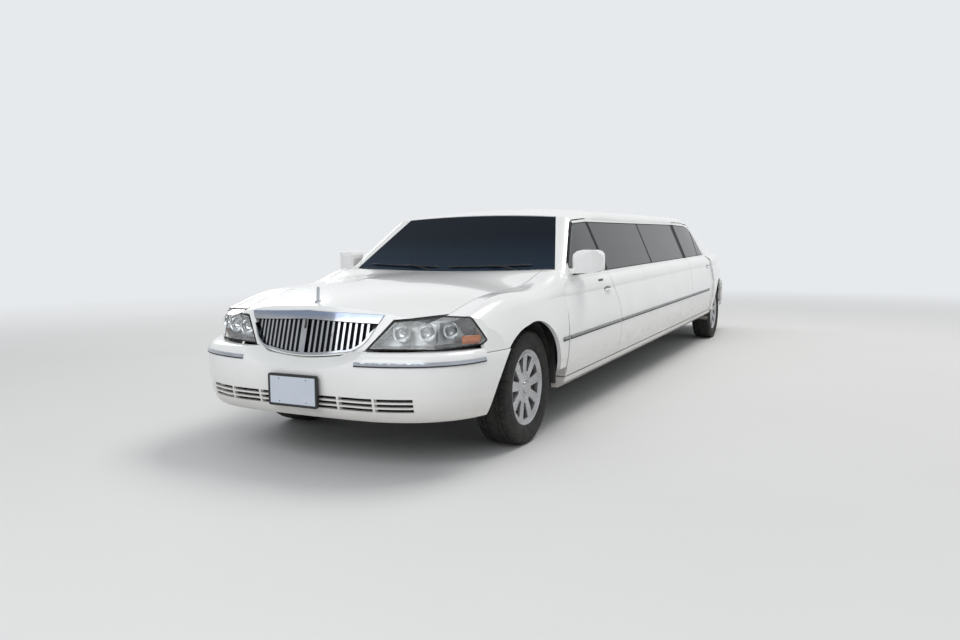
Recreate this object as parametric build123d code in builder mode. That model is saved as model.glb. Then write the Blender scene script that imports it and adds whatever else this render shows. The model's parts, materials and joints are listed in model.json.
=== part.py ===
"""Stretch limousine: a white four-door saloon with a long added middle, on four road wheels.

Everything sprung is drawn level in the body's own frame: x forward from the front axle,
y to the left, z up from the road under the front axle, in millimetres.  The body sits
slightly nose down, so the finished pieces are turned by RAKE about that axle and moved so
that the frame's origin is on the road under the middle of the whole vehicle.
"""
from build123d import *
from collections import namedtuple
from math import cos, radians, sin
import os

os.makedirs("parts", exist_ok=True)

# Overall places along the vehicle
WHEELBASE = 6038.0
RAKE = 0.70
NOSE_X = 1045.0
TAIL_X = -7487.0
BODY_HALF = 985.0
SIDE_TUCK = 50.0
ROCKER_Z = 255.0
WIDEST_Z = 600.0
BELT_Z = 988.0
CROWN_Z = 1487.0

# Wheels and tyres
TYRE_R = 345.0
TYRE_HALF = 113.0
RIM_LIP_R = 230.0
RIM_HALF = 97.0
FRONT_TRACK_HALF = 796.0
REAR_TRACK_HALF = 815.0
SPOKES = 9
CAP_R = 38.0

# Wheel arches: radius, and the place of the arch's centre from the wheel's own
ARCH_R = 400.0
ARCH_AHEAD = 30.0
ARCH_RISE = 7.0
REAR_ARCH_R = 402.0
REAR_ARCH_RISE = 18.0

# Wall thicknesses and gaps
PANEL = 24.0
SIDE_WALL = 70.0
FRAME_WALL = 42.0
ROOF_WALL = 36.0
GLASS = 6.0
SHUT_GAP = 6.0
DOOR_GAP = 8.0
DOOR_FLANGE = 14.0
SEAT_GAP = 0.3
FIT_GAP = 2.0

# Doors: places of the shut lines
DOOR_BOTTOM_Z = 332.0
FRONT_DOOR_X = -495.0
FRONT_DOOR_REAR_X = -1534.0
REAR_DOOR_X = -4400.0
REAR_DOOR_REAR_X = -5605.0

LEAN_SIN = sin(radians(RAKE))
LEAN_COS = cos(radians(RAKE))
RAIL_TALL = 96.0
RAIL_ARCH_Z = 432.0
SHEET = 18.0
REAR_AXLE_X = -WHEELBASE * LEAN_COS - TYRE_R * LEAN_SIN
REAR_AXLE_Z = TYRE_R * LEAN_COS - WHEELBASE * LEAN_SIN
FAR = 9000.0

pieces = []


def keep(piece, label, raked=True):
    """Notes a finished piece for the export at the end, with its node's name."""
    pieces.append((piece, label, raked))


def side_prism(points, low_y=0.0, high_y=FAR, radius=0.0, grow=0.0):
    """Prism whose outline is drawn in side view, as (x, z) points, between two y planes."""
    with BuildPart() as prism:
        with BuildSketch(Plane.XZ.offset(-low_y)):
            with BuildLine():
                if radius:
                    FilletPolyline(*points, radius=radius, close=True)
                else:
                    Polyline(*points, close=True)
            make_face()
            if grow:
                offset(amount=grow, kind=Kind.INTERSECTION)
        extrude(amount=low_y - high_y)
    return prism.part


def plan_prism(points, low_z=-FAR, high_z=FAR, radius=0.0, grow=0.0):
    """Prism whose outline is drawn in plan, as (x, y) points, between two z planes."""
    with BuildPart() as prism:
        with BuildSketch(Plane.XY.offset(low_z)):
            with BuildLine():
                if radius:
                    FilletPolyline(*points, radius=radius, close=True)
                else:
                    Polyline(*points, close=True)
            make_face()
            if grow:
                offset(amount=grow, kind=Kind.INTERSECTION)
        extrude(amount=high_z - low_z)
    return prism.part


def front_prism(points, low_x=-FAR, high_x=FAR, radius=0.0, grow=0.0):
    """Prism whose outline is drawn in front view, as (y, z) points, between two x planes."""
    with BuildPart() as prism:
        with BuildSketch(Plane.YZ.offset(low_x)):
            with BuildLine():
                if radius:
                    FilletPolyline(*points, radius=radius, close=True)
                else:
                    Polyline(*points, close=True)
            make_face()
            if grow:
                offset(amount=grow, kind=Kind.INTERSECTION)
        extrude(amount=high_x - low_x)
    return prism.part


def block(x, y, z, mode=Mode.ADD):
    """Box in the open part, from three (low, high) pairs."""
    with Locations(((x[0] + x[1]) / 2, (y[0] + y[1]) / 2, (z[0] + z[1]) / 2)):
        Box(x[1] - x[0], y[1] - y[0], z[1] - z[0], mode=mode)


def rod(start, end, radius, mode=Mode.ADD):
    """Round bar in the open part, between two points."""
    line = Vector(*end) - Vector(*start)
    with Locations(Plane(origin=start, z_dir=line).location):
        Cylinder(radius, line.length, align=(Align.CENTER, Align.CENTER, Align.MIN), mode=mode)


def mirrored(piece):
    """The same piece for the vehicle's other side."""
    with BuildPart() as twin:
        mirror(piece, about=Plane.XZ)
    return twin.part


# Body sections, half of each, from the nose to the tail.  Columns: place along the vehicle,
# height at the middle, hood edge y and z, crest y and z, shoulder y and z, widest y.
Section = namedtuple("Section", "x mid edge_y edge_z crest_y crest_z shoulder_y shoulder_z wide")

FRONT_SECTIONS = [
    Section(1080, 845, 560, 775, 690, 745, 800, 690, 870),
    Section(850, 905, 650, 800, 750, 790, 850, 740, 905),
    Section(640, 940, 690, 832, 790, 836, 884, 796, 938),
    Section(400, 968, 715, 890, 800, 897, 915, 835, 960),
    Section(100, 992, 740, 925, 806, 928, 935, 850, 976),
    Section(-300, 1008, 775, 962, 825, 964, 946, 860, BODY_HALF),
    Section(-700, 1016, 800, 984, 845, 984, 950, 855, BODY_HALF),
]
MID_SECTIONS = [
    FRONT_SECTIONS[-2],
    FRONT_SECTIONS[-1],
    Section(-5400, 1018, 790, 1004, 845, 1003, 950, 870, BODY_HALF),
    Section(-6100, 1018, 755, 1002, 822, 997, 938, 876, BODY_HALF - 5),
]
REAR_SECTIONS = [
    Section(-5400, 1018, 790, 1004, 845, 1003, 950, 870, BODY_HALF),
    Section(-6100, 1018, 755, 1002, 822, 997, 938, 876, BODY_HALF - 5),
    Section(-6700, 1008, 694, 990, 752, 982, 852, 866, 898),
    Section(-7200, 986, 618, 966, 672, 955, 775, 850, 824),
    Section(-7560, 966, 570, 942, 620, 930, 730, 840, 780),
]


def body_form(sections, top, side, bottom, ruled=False):
    """Solid lofted through the body sections, drawn in by top and side where it is an inside."""
    with BuildPart() as form:
        for s in sections:
            edge_z = s.edge_z - top
            crest = (s.crest_y - side * 0.6, s.crest_z - top)
            shoulder = (s.shoulder_y - side, s.shoulder_z - top * 0.5)
            wide = s.wide - side
            tuck = wide - SIDE_TUCK
            with BuildSketch(Plane.YZ.offset(s.x)):
                with BuildLine():
                    for way in (1, -1):
                        Line((0, bottom), (way * (tuck - 40), bottom))
                        Line((way * (tuck - 40), bottom), (way * tuck, ROCKER_Z + 35))
                        ThreePointArc((way * tuck, ROCKER_Z + 35),
                                      (way * (wide - SIDE_TUCK * 0.25), (WIDEST_Z + ROCKER_Z + 35) / 2),
                                      (way * wide, WIDEST_Z))
                        ThreePointArc((way * wide, WIDEST_Z),
                                      (way * (wide * 0.75 + shoulder[0] * 0.25),
                                       (WIDEST_Z + shoulder[1]) / 2),
                                      (way * shoulder[0], shoulder[1]))
                        ThreePointArc((way * shoulder[0], shoulder[1]),
                                      (way * (shoulder[0] * 0.70 + crest[0] * 0.30),
                                       shoulder[1] * 0.28 + crest[1] * 0.72),
                                      (way * crest[0], crest[1]))
                        Line((way * crest[0], crest[1]), (way * (s.edge_y - side * 0.5), edge_z))
                        ThreePointArc((way * (s.edge_y - side * 0.5), edge_z),
                                      (way * s.edge_y * 0.5, edge_z * 0.25 + (s.mid - top) * 0.75),
                                      (0, s.mid - top))
                make_face()
        loft(ruled=ruled)
    return form.part


# The nose seen in plan at LAMP_FOOT_Z: corner points of its left half, with arc mid-points
LAMP_FOOT_Z = 669.0
NOSE_LEAN = 0.29


def nose_form(back):
    """Leaning prism that rounds the nose in plan; back moves it rearward for an inside."""
    base_z = 400.0
    shift = (LAMP_FOOT_Z - base_z) * NOSE_LEAN - back
    with BuildPart() as form:
        with BuildSketch(Plane.XY.offset(base_z)):
            with BuildLine():
                ThreePointArc((922 + shift, -372), (973 + shift, 0), (922 + shift, 372))
                for way in (1, -1):
                    Line((922 + shift, way * 372), (815 + shift, way * 722))
                    ThreePointArc((815 + shift, way * 722), (720 + shift, way * 820),
                                  (600 + shift, way * (912 - back * 0.4)))
                    ThreePointArc((600 + shift, way * (912 - back * 0.4)),
                                  (350 + shift, way * (972 - back * 0.4)),
                                  (0 + shift, way * (1012 - back * 0.4)))
                    Line((0 + shift, way * (1012 - back * 0.4)), (-FAR, way * (1012 - back * 0.4)))
                Line((-FAR, 1012 - back * 0.4), (-FAR, -1012 + back * 0.4))
            make_face()
        extrude(amount=1000, dir=(-NOSE_LEAN, 0, 1))
    return form.part


def tail_form(ahead):
    """Upright prism that rounds the tail in plan; ahead moves it forward for an inside."""
    tail = TAIL_X + 60 + ahead
    side = 812 - ahead * 0.5
    with BuildPart() as form:
        with BuildSketch(Plane.XY.offset(150)):
            with BuildLine():
                ThreePointArc((tail + 40, -540), (tail, 0), (tail + 40, 540))
                for way in (1, -1):
                    ThreePointArc((tail + 40, way * 540), (tail + 115, way * (710 - ahead * 0.5)),
                                  (tail + 260, way * side))
                    Line((tail + 260, way * side), (tail + 900, way * (side + 200)))
                    Line((tail + 900, way * (side + 200)), (-5000, way * (side + 200)))
                Line((-5000, side + 200), (-5000, -side - 200))
            make_face()
        extrude(amount=1000)
    return form.part


# Greenhouse sections: the windscreen's zone, then the roof with the rear glass.  Columns:
# place along the vehicle, glass top y and z, roof rail y and z, height at the middle.
Roof = namedtuple("Roof", "x glass_y glass_z rail_y rail_z mid")

SCREEN_SECTIONS = [
    Roof(-560, 932, 906, 850, 932, 982),
    Roof(-1180, 745, 1352, 655, 1388, 1410),
]
ROOF_SECTIONS = [
    Roof(-1180, 745, 1352, 655, 1388, 1410),
    Roof(-1550, 737, 1365, 678, 1422, 1456),
    Roof(-2300, 735, 1368, 690, 1436, 1484),
]
LONG_ROOF_SECTIONS = [
    Roof(-2300, 735, 1368, 690, 1436, 1484),
    Roof(-3500, 735, 1368, 690, 1437, CROWN_Z),
    Roof(-4700, 735, 1367, 690, 1435, 1484),
]
TAIL_ROOF_SECTIONS = [
    Roof(-4700, 735, 1367, 690, 1435, 1484),
    Roof(-5200, 737, 1342, 684, 1396, 1447),
    Roof(-5700, 752, 1250, 676, 1290, 1336),
    Roof(-6400, 818, 960, 748, 985, 1006),
]
GLASS_FOOT = (940.0, 888.0)


def roof_form(sections, top, side, foot_z, ruled=False):
    """Solid lofted through the greenhouse sections, drawn in by top and side for an inside."""
    with BuildPart() as form:
        for s in sections:
            foot = (GLASS_FOOT[0] - side, foot_z)
            glass = (s.glass_y - side, s.glass_z - top * 0.4)
            rail = (s.rail_y - side * 0.7, s.rail_z - top)
            with BuildSketch(Plane.YZ.offset(s.x)):
                with BuildLine():
                    Line((-foot[0], foot[1]), foot)
                    for way in (1, -1):
                        Line((way * foot[0], foot[1]), (way * glass[0], glass[1]))
                        ThreePointArc((way * glass[0], glass[1]),
                                      (way * (glass[0] * 0.72 + rail[0] * 0.28),
                                       glass[1] * 0.36 + rail[1] * 0.64),
                                      (way * rail[0], rail[1]))
                        ThreePointArc((way * rail[0], rail[1]),
                                      (way * rail[0] * 0.5, rail[1] * 0.25 + (s.mid - top) * 0.75),
                                      (0, s.mid - top))
                make_face()
        loft(ruled=ruled)
    return form.part


def joined(*forms):
    """One solid from forms that touch or overlap."""
    with BuildPart() as whole:
        for form in forms:
            add(form)
    return whole.part


def moved(form, x, y, z=0.0):
    """The form carried to another place."""
    with BuildPart() as there:
        with Locations((x, y, z)):
            add(form)
    return there.part


def less(form, *cuts):
    """The form with each of the cuts taken out of it."""
    with BuildPart() as rest:
        add(form)
        for cut in cuts:
            add(cut, mode=Mode.SUBTRACT)
    return rest.part


def common(form, *others):
    """What the form shares with each of the others."""
    with BuildPart() as shared:
        add(form)
        for other in others:
            add(other, mode=Mode.INTERSECT)
    return shared.part


front_outer = common(body_form(FRONT_SECTIONS, 0, 0, ROCKER_Z), nose_form(0))
front_inner = common(body_form(FRONT_SECTIONS, PANEL, PANEL, 100), nose_form(PANEL))
mid_outer = body_form(MID_SECTIONS, 0, 0, ROCKER_Z, ruled=True)
mid_inner = body_form(MID_SECTIONS, -60, SIDE_WALL, 100, ruled=True)
rear_outer = common(body_form(REAR_SECTIONS, 0, 0, ROCKER_Z), tail_form(0))
rear_inner = common(body_form(REAR_SECTIONS, PANEL, PANEL, 100), tail_form(PANEL))


def greenhouse(top, side, foot_z):
    """Whole greenhouse: windscreen zone, front of the roof, long middle and rear, in turn."""
    with BuildPart() as form:
        add(roof_form(SCREEN_SECTIONS, top, side, foot_z, ruled=True))
        add(roof_form(ROOF_SECTIONS, top, side, foot_z))
        add(roof_form(LONG_ROOF_SECTIONS, top, side, foot_z, ruled=True))
        add(roof_form(TAIL_ROOF_SECTIONS, top, side, foot_z))
    return form.part


glass_outer = greenhouse(0, 0, GLASS_FOOT[1])
glass_inner = greenhouse(GLASS + 1, GLASS, GLASS_FOOT[1] - 60)
cabin_roof_inner = greenhouse(ROOF_WALL, FRAME_WALL, GLASS_FOOT[1] - 60)
pane_shell = less(glass_outer, glass_inner)

# Shells from which the outer panels are cut
front_shell = less(front_outer, front_inner)
rear_shell = less(rear_outer, rear_inner)
wall_shell = less(mid_outer, mid_inner)


def cross_block(x, y, z):
    """Plain box as a region, from three (low, high) pairs."""
    with BuildPart() as region:
        block(x, y, z)
    return region.part


def arch_cut(centre_x, centre_z, radius, low_y=400.0, high_y=1200.0):
    """Round wheel arch opening, with its axis across the vehicle."""
    with BuildPart() as cut:
        with BuildSketch(Plane.XZ.offset(-low_y)):
            with Locations((centre_x, centre_z)):
                Circle(radius)
        extrude(amount=low_y - high_y)
    return cut.part


# The front opening runs on forward of its circle, down the rear edge of the bumper
ARCH_FLARE = [(100, 742), (230, 721), (330, 682), (405, 632), (456, 568), (500, 500), (548, 415), (592, 300)]


def front_opening(grow, low_y, high_y):
    """Side-view region of the front wheel's opening, left side, made larger by grow."""
    flare = []
    for count, (x, z) in enumerate(ARCH_FLARE):
        before = ARCH_FLARE[max(count - 1, 0)]
        after = ARCH_FLARE[min(count + 1, len(ARCH_FLARE) - 1)]
        run = Vector(after[0] - before[0], after[1] - before[1])
        flare.append((x - run.Y / run.length * grow, z + run.X / run.length * grow))
    with BuildPart() as cut:
        with BuildSketch(Plane.XZ.offset(-low_y)):
            with BuildLine():
                Spline(*flare)
                Polyline(flare[-1], (flare[-1][0], 240), (ARCH_AHEAD, 240), flare[0])
            make_face()
            with Locations((ARCH_AHEAD, TYRE_R + ARCH_RISE)):
                Circle(ARCH_R + grow)
        extrude(amount=low_y - high_y)
    return cut.part


front_arch = front_opening(0, 400, 1200)
rear_arch = arch_cut(REAR_AXLE_X, REAR_AXLE_Z + REAR_ARCH_RISE, REAR_ARCH_R)

# Hood, fenders and lamps share these lines.  Hood edge in plan, from the cowl forward:
HOOD_REAR = [(-570, 0), (-578, 240), (-604, 500), (-655, 788)]
HOOD_EDGE = [(239, 731), (434, 716), (586, 702), (720, 690), (1200, 690)]
LAMP_INNER = [(372, LAMP_FOOT_Z), (499, 818)]
LAMP_TOP = [(690, 833), (1100, 838)]
LAMP_SIDE = [(1200, 667), (800, 667), (612, 684), (582, 706), (640, 838), (1200, 838)]
BUMPER_TOP_Z = 664.0
SEAM_Z = 640.0
SEAM_X = 606.0


def hood_plan(gap):
    """Hood outline in plan, moved inward by half a shut gap or outward when gap is below 0."""
    rear = [(x + gap, y - (gap if y > 700 else 0)) for x, y in HOOD_REAR]
    left = rear + [(x, y - gap) for x, y in HOOD_EDGE]
    return left + [(x, -y) for x, y in reversed(left[1:])]


def nose_window(gap):
    """Front-view outline of the hood's nose between and over the lamps, less the gap."""
    with BuildPart() as region:
        with BuildSketch(Plane.YZ.offset(560)):
            with BuildLine():
                foot = (LAMP_INNER[0][0] - gap, LAMP_INNER[0][1] - 3)
                tip = (LAMP_INNER[1][0] - gap, LAMP_INNER[1][1] + gap)
                over = (LAMP_TOP[0][0], LAMP_TOP[0][1] + gap)
                ThreePointArc((-foot[0], foot[1]), (0, 627), foot)
                for way in (1, -1):
                    Polyline((way * foot[0], foot[1]), (way * tip[0], tip[1]),
                             (way * over[0], over[1]), (way * 1100, LAMP_TOP[1][1] + gap),
                             (way * 1100, 1300))
                Line((-1100, 1300), (1100, 1300))
            make_face()
        extrude(amount=700)
    return region.part


HALF_GAP = SHUT_GAP / 2
hood_region = common(plan_prism(hood_plan(HALF_GAP), 300, 1300),
                     joined(nose_window(SHUT_GAP), cross_block((-700, 600), (-900, 900), (300, 1300))))

# Grille outline in front view: wide top corners, sides drawn in to a flat smile
GRILLE_CORNER = (446, 848)
GRILLE_SIDE = (392, 752)
GRILLE_TURN = (240, 657)
GRILLE_FOOT_Z = 637.0
GRILLE_PEAK_Z = 868.0


def grille_prism(inset, low_x, high_x, top_inset=None):
    """Prism of the grille's outline, drawn in by inset, and by top_inset along its top."""
    top = inset if top_inset is None else top_inset
    corner = (GRILLE_CORNER[0] - inset * 1.5, GRILLE_CORNER[1] - top)
    side = (GRILLE_SIDE[0] - inset, GRILLE_SIDE[1] + inset * 0.3)
    turn = (GRILLE_TURN[0] - inset * 0.4, GRILLE_TURN[1] + inset)
    with BuildPart() as prism:
        with BuildSketch(Plane.YZ.offset(low_x)):
            with BuildLine():
                for way in (1, -1):
                    Line((0, GRILLE_PEAK_Z - top), (way * corner[0], corner[1]))
                    Line((way * corner[0], corner[1]), (way * side[0], side[1]))
                    ThreePointArc((way * side[0], side[1]),
                                  (way * (side[0] * 0.56 + turn[0] * 0.44),
                                   side[1] * 0.34 + turn[1] * 0.66 - 12),
                                  (way * turn[0], turn[1]))
                ThreePointArc((-turn[0], turn[1]), (0, GRILLE_FOOT_Z + inset), turn)
            make_face()
        extrude(amount=high_x - low_x)
    return prism.part


# Hood panel with its nose surround, open for the grille
with BuildPart() as hood_panel:
    add(front_shell)
    add(hood_region, mode=Mode.INTERSECT)
    add(grille_prism(-SEAT_GAP, 700, 1200), mode=Mode.SUBTRACT)
keep(hood_panel.part, "hood_panel")

# Grille: chrome frame, upright bars and the middle bar with its plain badge place
GRILLE_PROUD = 9.0
GRILLE_DEPTH = 46.0
BAR_PITCH = 33.0
BAR_WIDTH = 13.0
BAR_SETBACK = 10.0
BARS_EACH_SIDE = 11
FRAME_RIM = 10.0
FRAME_BROW = 44.0

grille_slab = less(nose_form(-GRILLE_PROUD), nose_form(GRILLE_DEPTH))
bar_slab = less(nose_form(BAR_SETBACK), nose_form(GRILLE_DEPTH - BAR_SETBACK))
BADGE_FACES = (GRILLE_PROUD - 2, 6 - GRILLE_DEPTH)


def nose_x(z, proud):
    """Place of the nose at the middle and a height, moved forward by proud."""
    return 973 - (z - LAMP_FOOT_Z) * NOSE_LEAN + proud


bar_window = grille_prism(FRAME_RIM - 3, 700, 1200, FRAME_BROW - 4)
with BuildPart() as bar_comb:
    for count in range(-BARS_EACH_SIDE, BARS_EACH_SIDE + 1):
        middle = count * BAR_PITCH
        block((720, 1180), (middle - BAR_WIDTH / 2, middle + BAR_WIDTH / 2), (610, 900))
with BuildPart() as grille_half:
    add(common(grille_slab, less(grille_prism(0, 700, 1200),
                                 grille_prism(FRAME_RIM, 690, 1210, FRAME_BROW))))
    add(common(bar_slab, bar_window, bar_comb.part))
    add(cross_block((600, 1300), (-600, 0), (500, 1000)), mode=Mode.INTERSECT)
with BuildPart() as grille:
    add(grille_half.part)
    add(mirrored(grille_half.part))
    add(side_prism([(nose_x(GRILLE_FOOT_Z + 6, front), GRILLE_FOOT_Z + 6) for front in BADGE_FACES]
                   + [(nose_x(GRILLE_PEAK_Z - 12, front), GRILLE_PEAK_Z - 12)
                      for front in reversed(BADGE_FACES)], -BAR_WIDTH, BAR_WIDTH))
keep(grille.part, "grille")

# Hood ornament: a plain upright fin on a round foot
ORNAMENT_X = 833.0
ORNAMENT_TALL = 82.0
ornament_z = 907.0
with BuildPart() as hood_ornament:
    with BuildSketch(Plane.XY.offset(ornament_z)):
        with Locations((ORNAMENT_X, 0)):
            Ellipse(26, 13)
    extrude(amount=7)
    with BuildSketch(Plane.XZ.offset(-3)):
        with BuildLine():
            Polyline((ORNAMENT_X + 12, ornament_z + 6), (ORNAMENT_X - 10, ornament_z + 6),
                     (ORNAMENT_X - 15, ornament_z + ORNAMENT_TALL - 8),
                     (ORNAMENT_X - 9, ornament_z + ORNAMENT_TALL),
                     (ORNAMENT_X + 3, ornament_z + ORNAMENT_TALL - 2), close=True)
        make_face()
    extrude(amount=6)
    add(moved(front_outer, 0, 0, SEAT_GAP), mode=Mode.SUBTRACT)
keep(hood_ornament.part, "hood_ornament")

# Lamp region on the left: inside the inner line, under the top line, ahead of the side line
lamp_region = common(front_prism(LAMP_INNER + LAMP_TOP + [(1100, LAMP_FOOT_Z)], 400, 1300),
                     side_prism(LAMP_SIDE, 0, 1200))

# Fender, left: outside the hood, round the lamp, over the bumper, open for the wheel
FENDER_REAR_X = FRONT_DOOR_X + HALF_GAP
FENDER_TIP_X = -690.0
pillar_foot_cut = side_prism([(-490, 820), (-490, 934), (-602, 977), (-664, 993), (-700, 1020),
                              (-800, 1100), (-800, 820)], 300, 1200)
# Where the cowl and the screen's foot lie inside the fender: low and high x, and y
COWL_NOTCHES = [(-720, -652, 804), (-660, -560, 790)]
with BuildPart() as fender_left:
    add(front_shell)
    add(cross_block((FENDER_TIP_X, 1200), (330, 1200), (200, 1200)), mode=Mode.INTERSECT)
    add(cross_block((FENDER_TIP_X - 10, FENDER_REAR_X), (300, 1200), (100, 900)), mode=Mode.SUBTRACT)
    add(pillar_foot_cut, mode=Mode.SUBTRACT)
    for low_x, high_x, notch_y in COWL_NOTCHES:
        add(cross_block((low_x, high_x), (0, notch_y), (900, 1100)), mode=Mode.SUBTRACT)
    add(plan_prism(hood_plan(-HALF_GAP), 600, 1300), mode=Mode.SUBTRACT)
    add(lamp_region, mode=Mode.SUBTRACT)
    add(cross_block((SEAM_X - 2, 1300), (0, 1200), (0, LAMP_FOOT_Z + 14)), mode=Mode.SUBTRACT)
    add(cross_block((ARCH_AHEAD + 100, 1300), (0, 1200), (0, SEAM_Z + 2)), mode=Mode.SUBTRACT)
    add(front_arch, mode=Mode.SUBTRACT)
keep(fender_left.part, "fender_left")
keep(mirrored(fender_left.part), "fender_right")

# Headlamps: a clear lens with a tub behind it, each side; the pair shares a node
LENS = 7.0
TUB_DEPTH = 105.0
TUB_WALL = 6.0


lamp_front = common(front_outer, cross_block((350, 1200), (250, 1100), (600, 900)))
lens_back = moved(lamp_front, -LENS, -LENS)
tub_back = moved(lamp_front, -TUB_DEPTH, -TUB_DEPTH * 0.45)
tub_inside = moved(lamp_front, -TUB_DEPTH + TUB_WALL, -TUB_DEPTH * 0.45 + TUB_WALL)
with BuildPart() as lens_left:
    add(lamp_front)
    add(lamp_region, mode=Mode.INTERSECT)
    add(lens_back, mode=Mode.SUBTRACT)
lamp_cavity = common(front_prism([(390, 676), (508, 811), (690, 826), (1100, 831), (1100, 676)], 400, 1300),
                     side_prism([(1200, 674), (800, 674), (618, 691), (592, 712), (646, 831),
                                 (1200, 831)], 0, 1200))
with BuildPart() as tub_left:
    add(lamp_front)
    add(lens_back, mode=Mode.INTERSECT)
    add(lamp_region, mode=Mode.INTERSECT)
    add(tub_back, mode=Mode.SUBTRACT)
    add(less(lamp_cavity, tub_inside), mode=Mode.SUBTRACT)
with BuildPart() as headlamp_lenses:
    add(lens_left.part)
    add(mirrored(lens_left.part))
keep(headlamp_lenses.part, "headlamp_lenses")
with BuildPart() as headlamp_tubs:
    add(tub_left.part)
    add(mirrored(tub_left.part))
keep(headlamp_tubs.part, "headlamp_tubs")


# Front bumper cover: outline levels as (height, set-back)
FRONT_BUMPER_LEVELS = [(304, 52), (350, 22), (430, 4), (600, 0), (640, 14), (BUMPER_TOP_Z, 70)]
BUMPER_WALL = 26.0


def front_bumper_form(extra, levels):
    """Solid lofted through the bumper's outlines; extra sets it back for the inside."""
    with BuildPart() as form:
        for height, back in levels:
            d = back + extra
            e = back * 0.30 + extra
            with BuildSketch(Plane.XY.offset(height)):
                with BuildLine():
                    ThreePointArc((NOSE_X - 9 - d, -360), (NOSE_X - d, 0), (NOSE_X - 9 - d, 360))
                    for way in (1, -1):
                        ThreePointArc((NOSE_X - 9 - d, way * 360), (NOSE_X - 40 - d, way * 545),
                                      (NOSE_X - 105 - d, way * (702 - e * 0.5)))
                        ThreePointArc((NOSE_X - 105 - d, way * (702 - e * 0.5)),
                                      (NOSE_X - 195 - d, way * (812 - e)), (NOSE_X - 318 - d, way * (893 - e)))
                        ThreePointArc((NOSE_X - 318 - d, way * (893 - e)),
                                      (NOSE_X - 485 - d * 0.5, way * (938 - e)), (400, way * (970 - e)))
                    Line((400, 970 - e), (400, -970 + e))
                make_face()
        loft()
    return form.part


bumper_outer = front_bumper_form(0, FRONT_BUMPER_LEVELS)
bumper_inner = front_bumper_form(BUMPER_WALL, [(240, 52), (350, 24), (430, 6), (600, 2), (650, 20)])

# The shelf's dip under the grille: a smile that rises toward the grille's foot
DIP_FOOT_Z = 548.0
DIP_RISE = 0.72


def bumper_dip(down):
    """What is cut from over the dip; down lowers it for the bumper's inside."""
    with BuildPart() as dip:
        with BuildSketch(Plane.YZ.offset(NOSE_X + 20)):
            with BuildLine():
                ThreePointArc((-470, 640 - down), (0, DIP_FOOT_Z - down), (470, 640 - down))
                Polyline((470, 640 - down), (470, 900), (-470, 900), (-470, 640 - down))
            make_face()
        extrude(amount=300, dir=(-1, 0, DIP_RISE))
    return dip.part


# Room kept clear under the hood's nose and the grille, and the way into the bumper from over it
UNDER_NOSE = [(-380, 664), (0, 620), (380, 664)]
LID_FLANGE = 92.0
with BuildPart() as nose_room:
    with BuildSketch(Plane.YZ.offset(700)):
        with BuildLine():
            ThreePointArc(*UNDER_NOSE)
            Polyline(UNDER_NOSE[2], (380, 900), (-380, 900), UNDER_NOSE[0])
        make_face()
    extrude(amount=400)
    add(nose_form(-GRILLE_PROUD - 3), mode=Mode.INTERSECT)
bumper_lid_cut = front_bumper_form(LID_FLANGE, [(600, 0), (700, 0)])

SLOT_ROWS = 3
SLOT_LOW_Z = 363.0
SLOT_HIGH_Z = 434.0
SLOT_HALF = 675.0
SLOT_BAR = 9.0
SLOT_POSTS = (0, 260, 470)
slot_step = (SLOT_HIGH_Z - SLOT_LOW_Z + SLOT_BAR) / SLOT_ROWS
with BuildPart() as front_bumper:
    add(bumper_outer)
    add(less(bumper_inner, bumper_dip(BUMPER_WALL * 1.3)), mode=Mode.SUBTRACT)
    add(bumper_dip(0), mode=Mode.SUBTRACT)
    add(nose_room.part, mode=Mode.SUBTRACT)
    add(bumper_lid_cut, mode=Mode.SUBTRACT)
    add(cross_block((300, SEAM_X), (-1200, 1200), (SEAM_Z - 1, 900)), mode=Mode.SUBTRACT)
    add(front_arch, mode=Mode.SUBTRACT)
    add(mirrored(front_arch), mode=Mode.SUBTRACT)
    for row in range(SLOT_ROWS):
        low = SLOT_LOW_Z + row * slot_step
        gaps = [0] + [post for post in SLOT_POSTS[1:]] + [SLOT_HALF]
        for inner, outer in zip(gaps, gaps[1:]):
            for way in (1, -1):
                ends = sorted((way * (inner + 6), way * (outer - 6)))
                block((700, 1200), ends, (low, low + slot_step - SLOT_BAR), mode=Mode.SUBTRACT)
keep(front_bumper.part, "front_bumper")

# Chrome strips on the front bumper, one each side
STRIP_LOW_Z = 598.0
STRIP_HIGH_Z = 622.0
strip_slab = less(front_bumper_form(-6, FRONT_BUMPER_LEVELS),
                  front_bumper_form(-2 * SEAT_GAP, FRONT_BUMPER_LEVELS), bumper_dip(0))
with BuildPart() as bumper_strips:
    for way in (1, -1):
        ends = sorted((way * 372, way * 1100))
        add(common(strip_slab, cross_block((623, 1200), ends, (STRIP_LOW_Z, STRIP_HIGH_Z))))
keep(bumper_strips.part, "bumper_strips")

# Plate holder on the front bumper, upright, with its four bolt holes through it
PLATE_WIDE = 305.0
PLATE_TALL = 152.0
PLATE_Z = 440.0
PLATE_FACE_X = 1081.0
PLATE_HOLE_R = 3.5
PLATE_HOLES = (178.0, 121.0)
BUMPER_FACE_X = NOSE_X * LEAN_COS + PLATE_Z * LEAN_SIN
with BuildPart() as plate_holder:
    with BuildSketch(Plane.YZ.offset(PLATE_FACE_X)):
        with Locations((0, PLATE_Z)):
            RectangleRounded(PLATE_WIDE + 22, PLATE_TALL + 22, 14)
    extrude(amount=-14)
    block((BUMPER_FACE_X + 2.3, PLATE_FACE_X - 10), (-120, 120), (PLATE_Z - 55, PLATE_Z + 55))
    with BuildSketch(Plane.YZ.offset(PLATE_FACE_X)):
        with Locations((0, PLATE_Z)):
            with GridLocations(PLATE_HOLES[0], PLATE_HOLES[1], 2, 2):
                Circle(PLATE_HOLE_R)
    extrude(amount=-60, mode=Mode.SUBTRACT)
keep(plate_holder.part, "plate_holder", raked=False)

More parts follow.
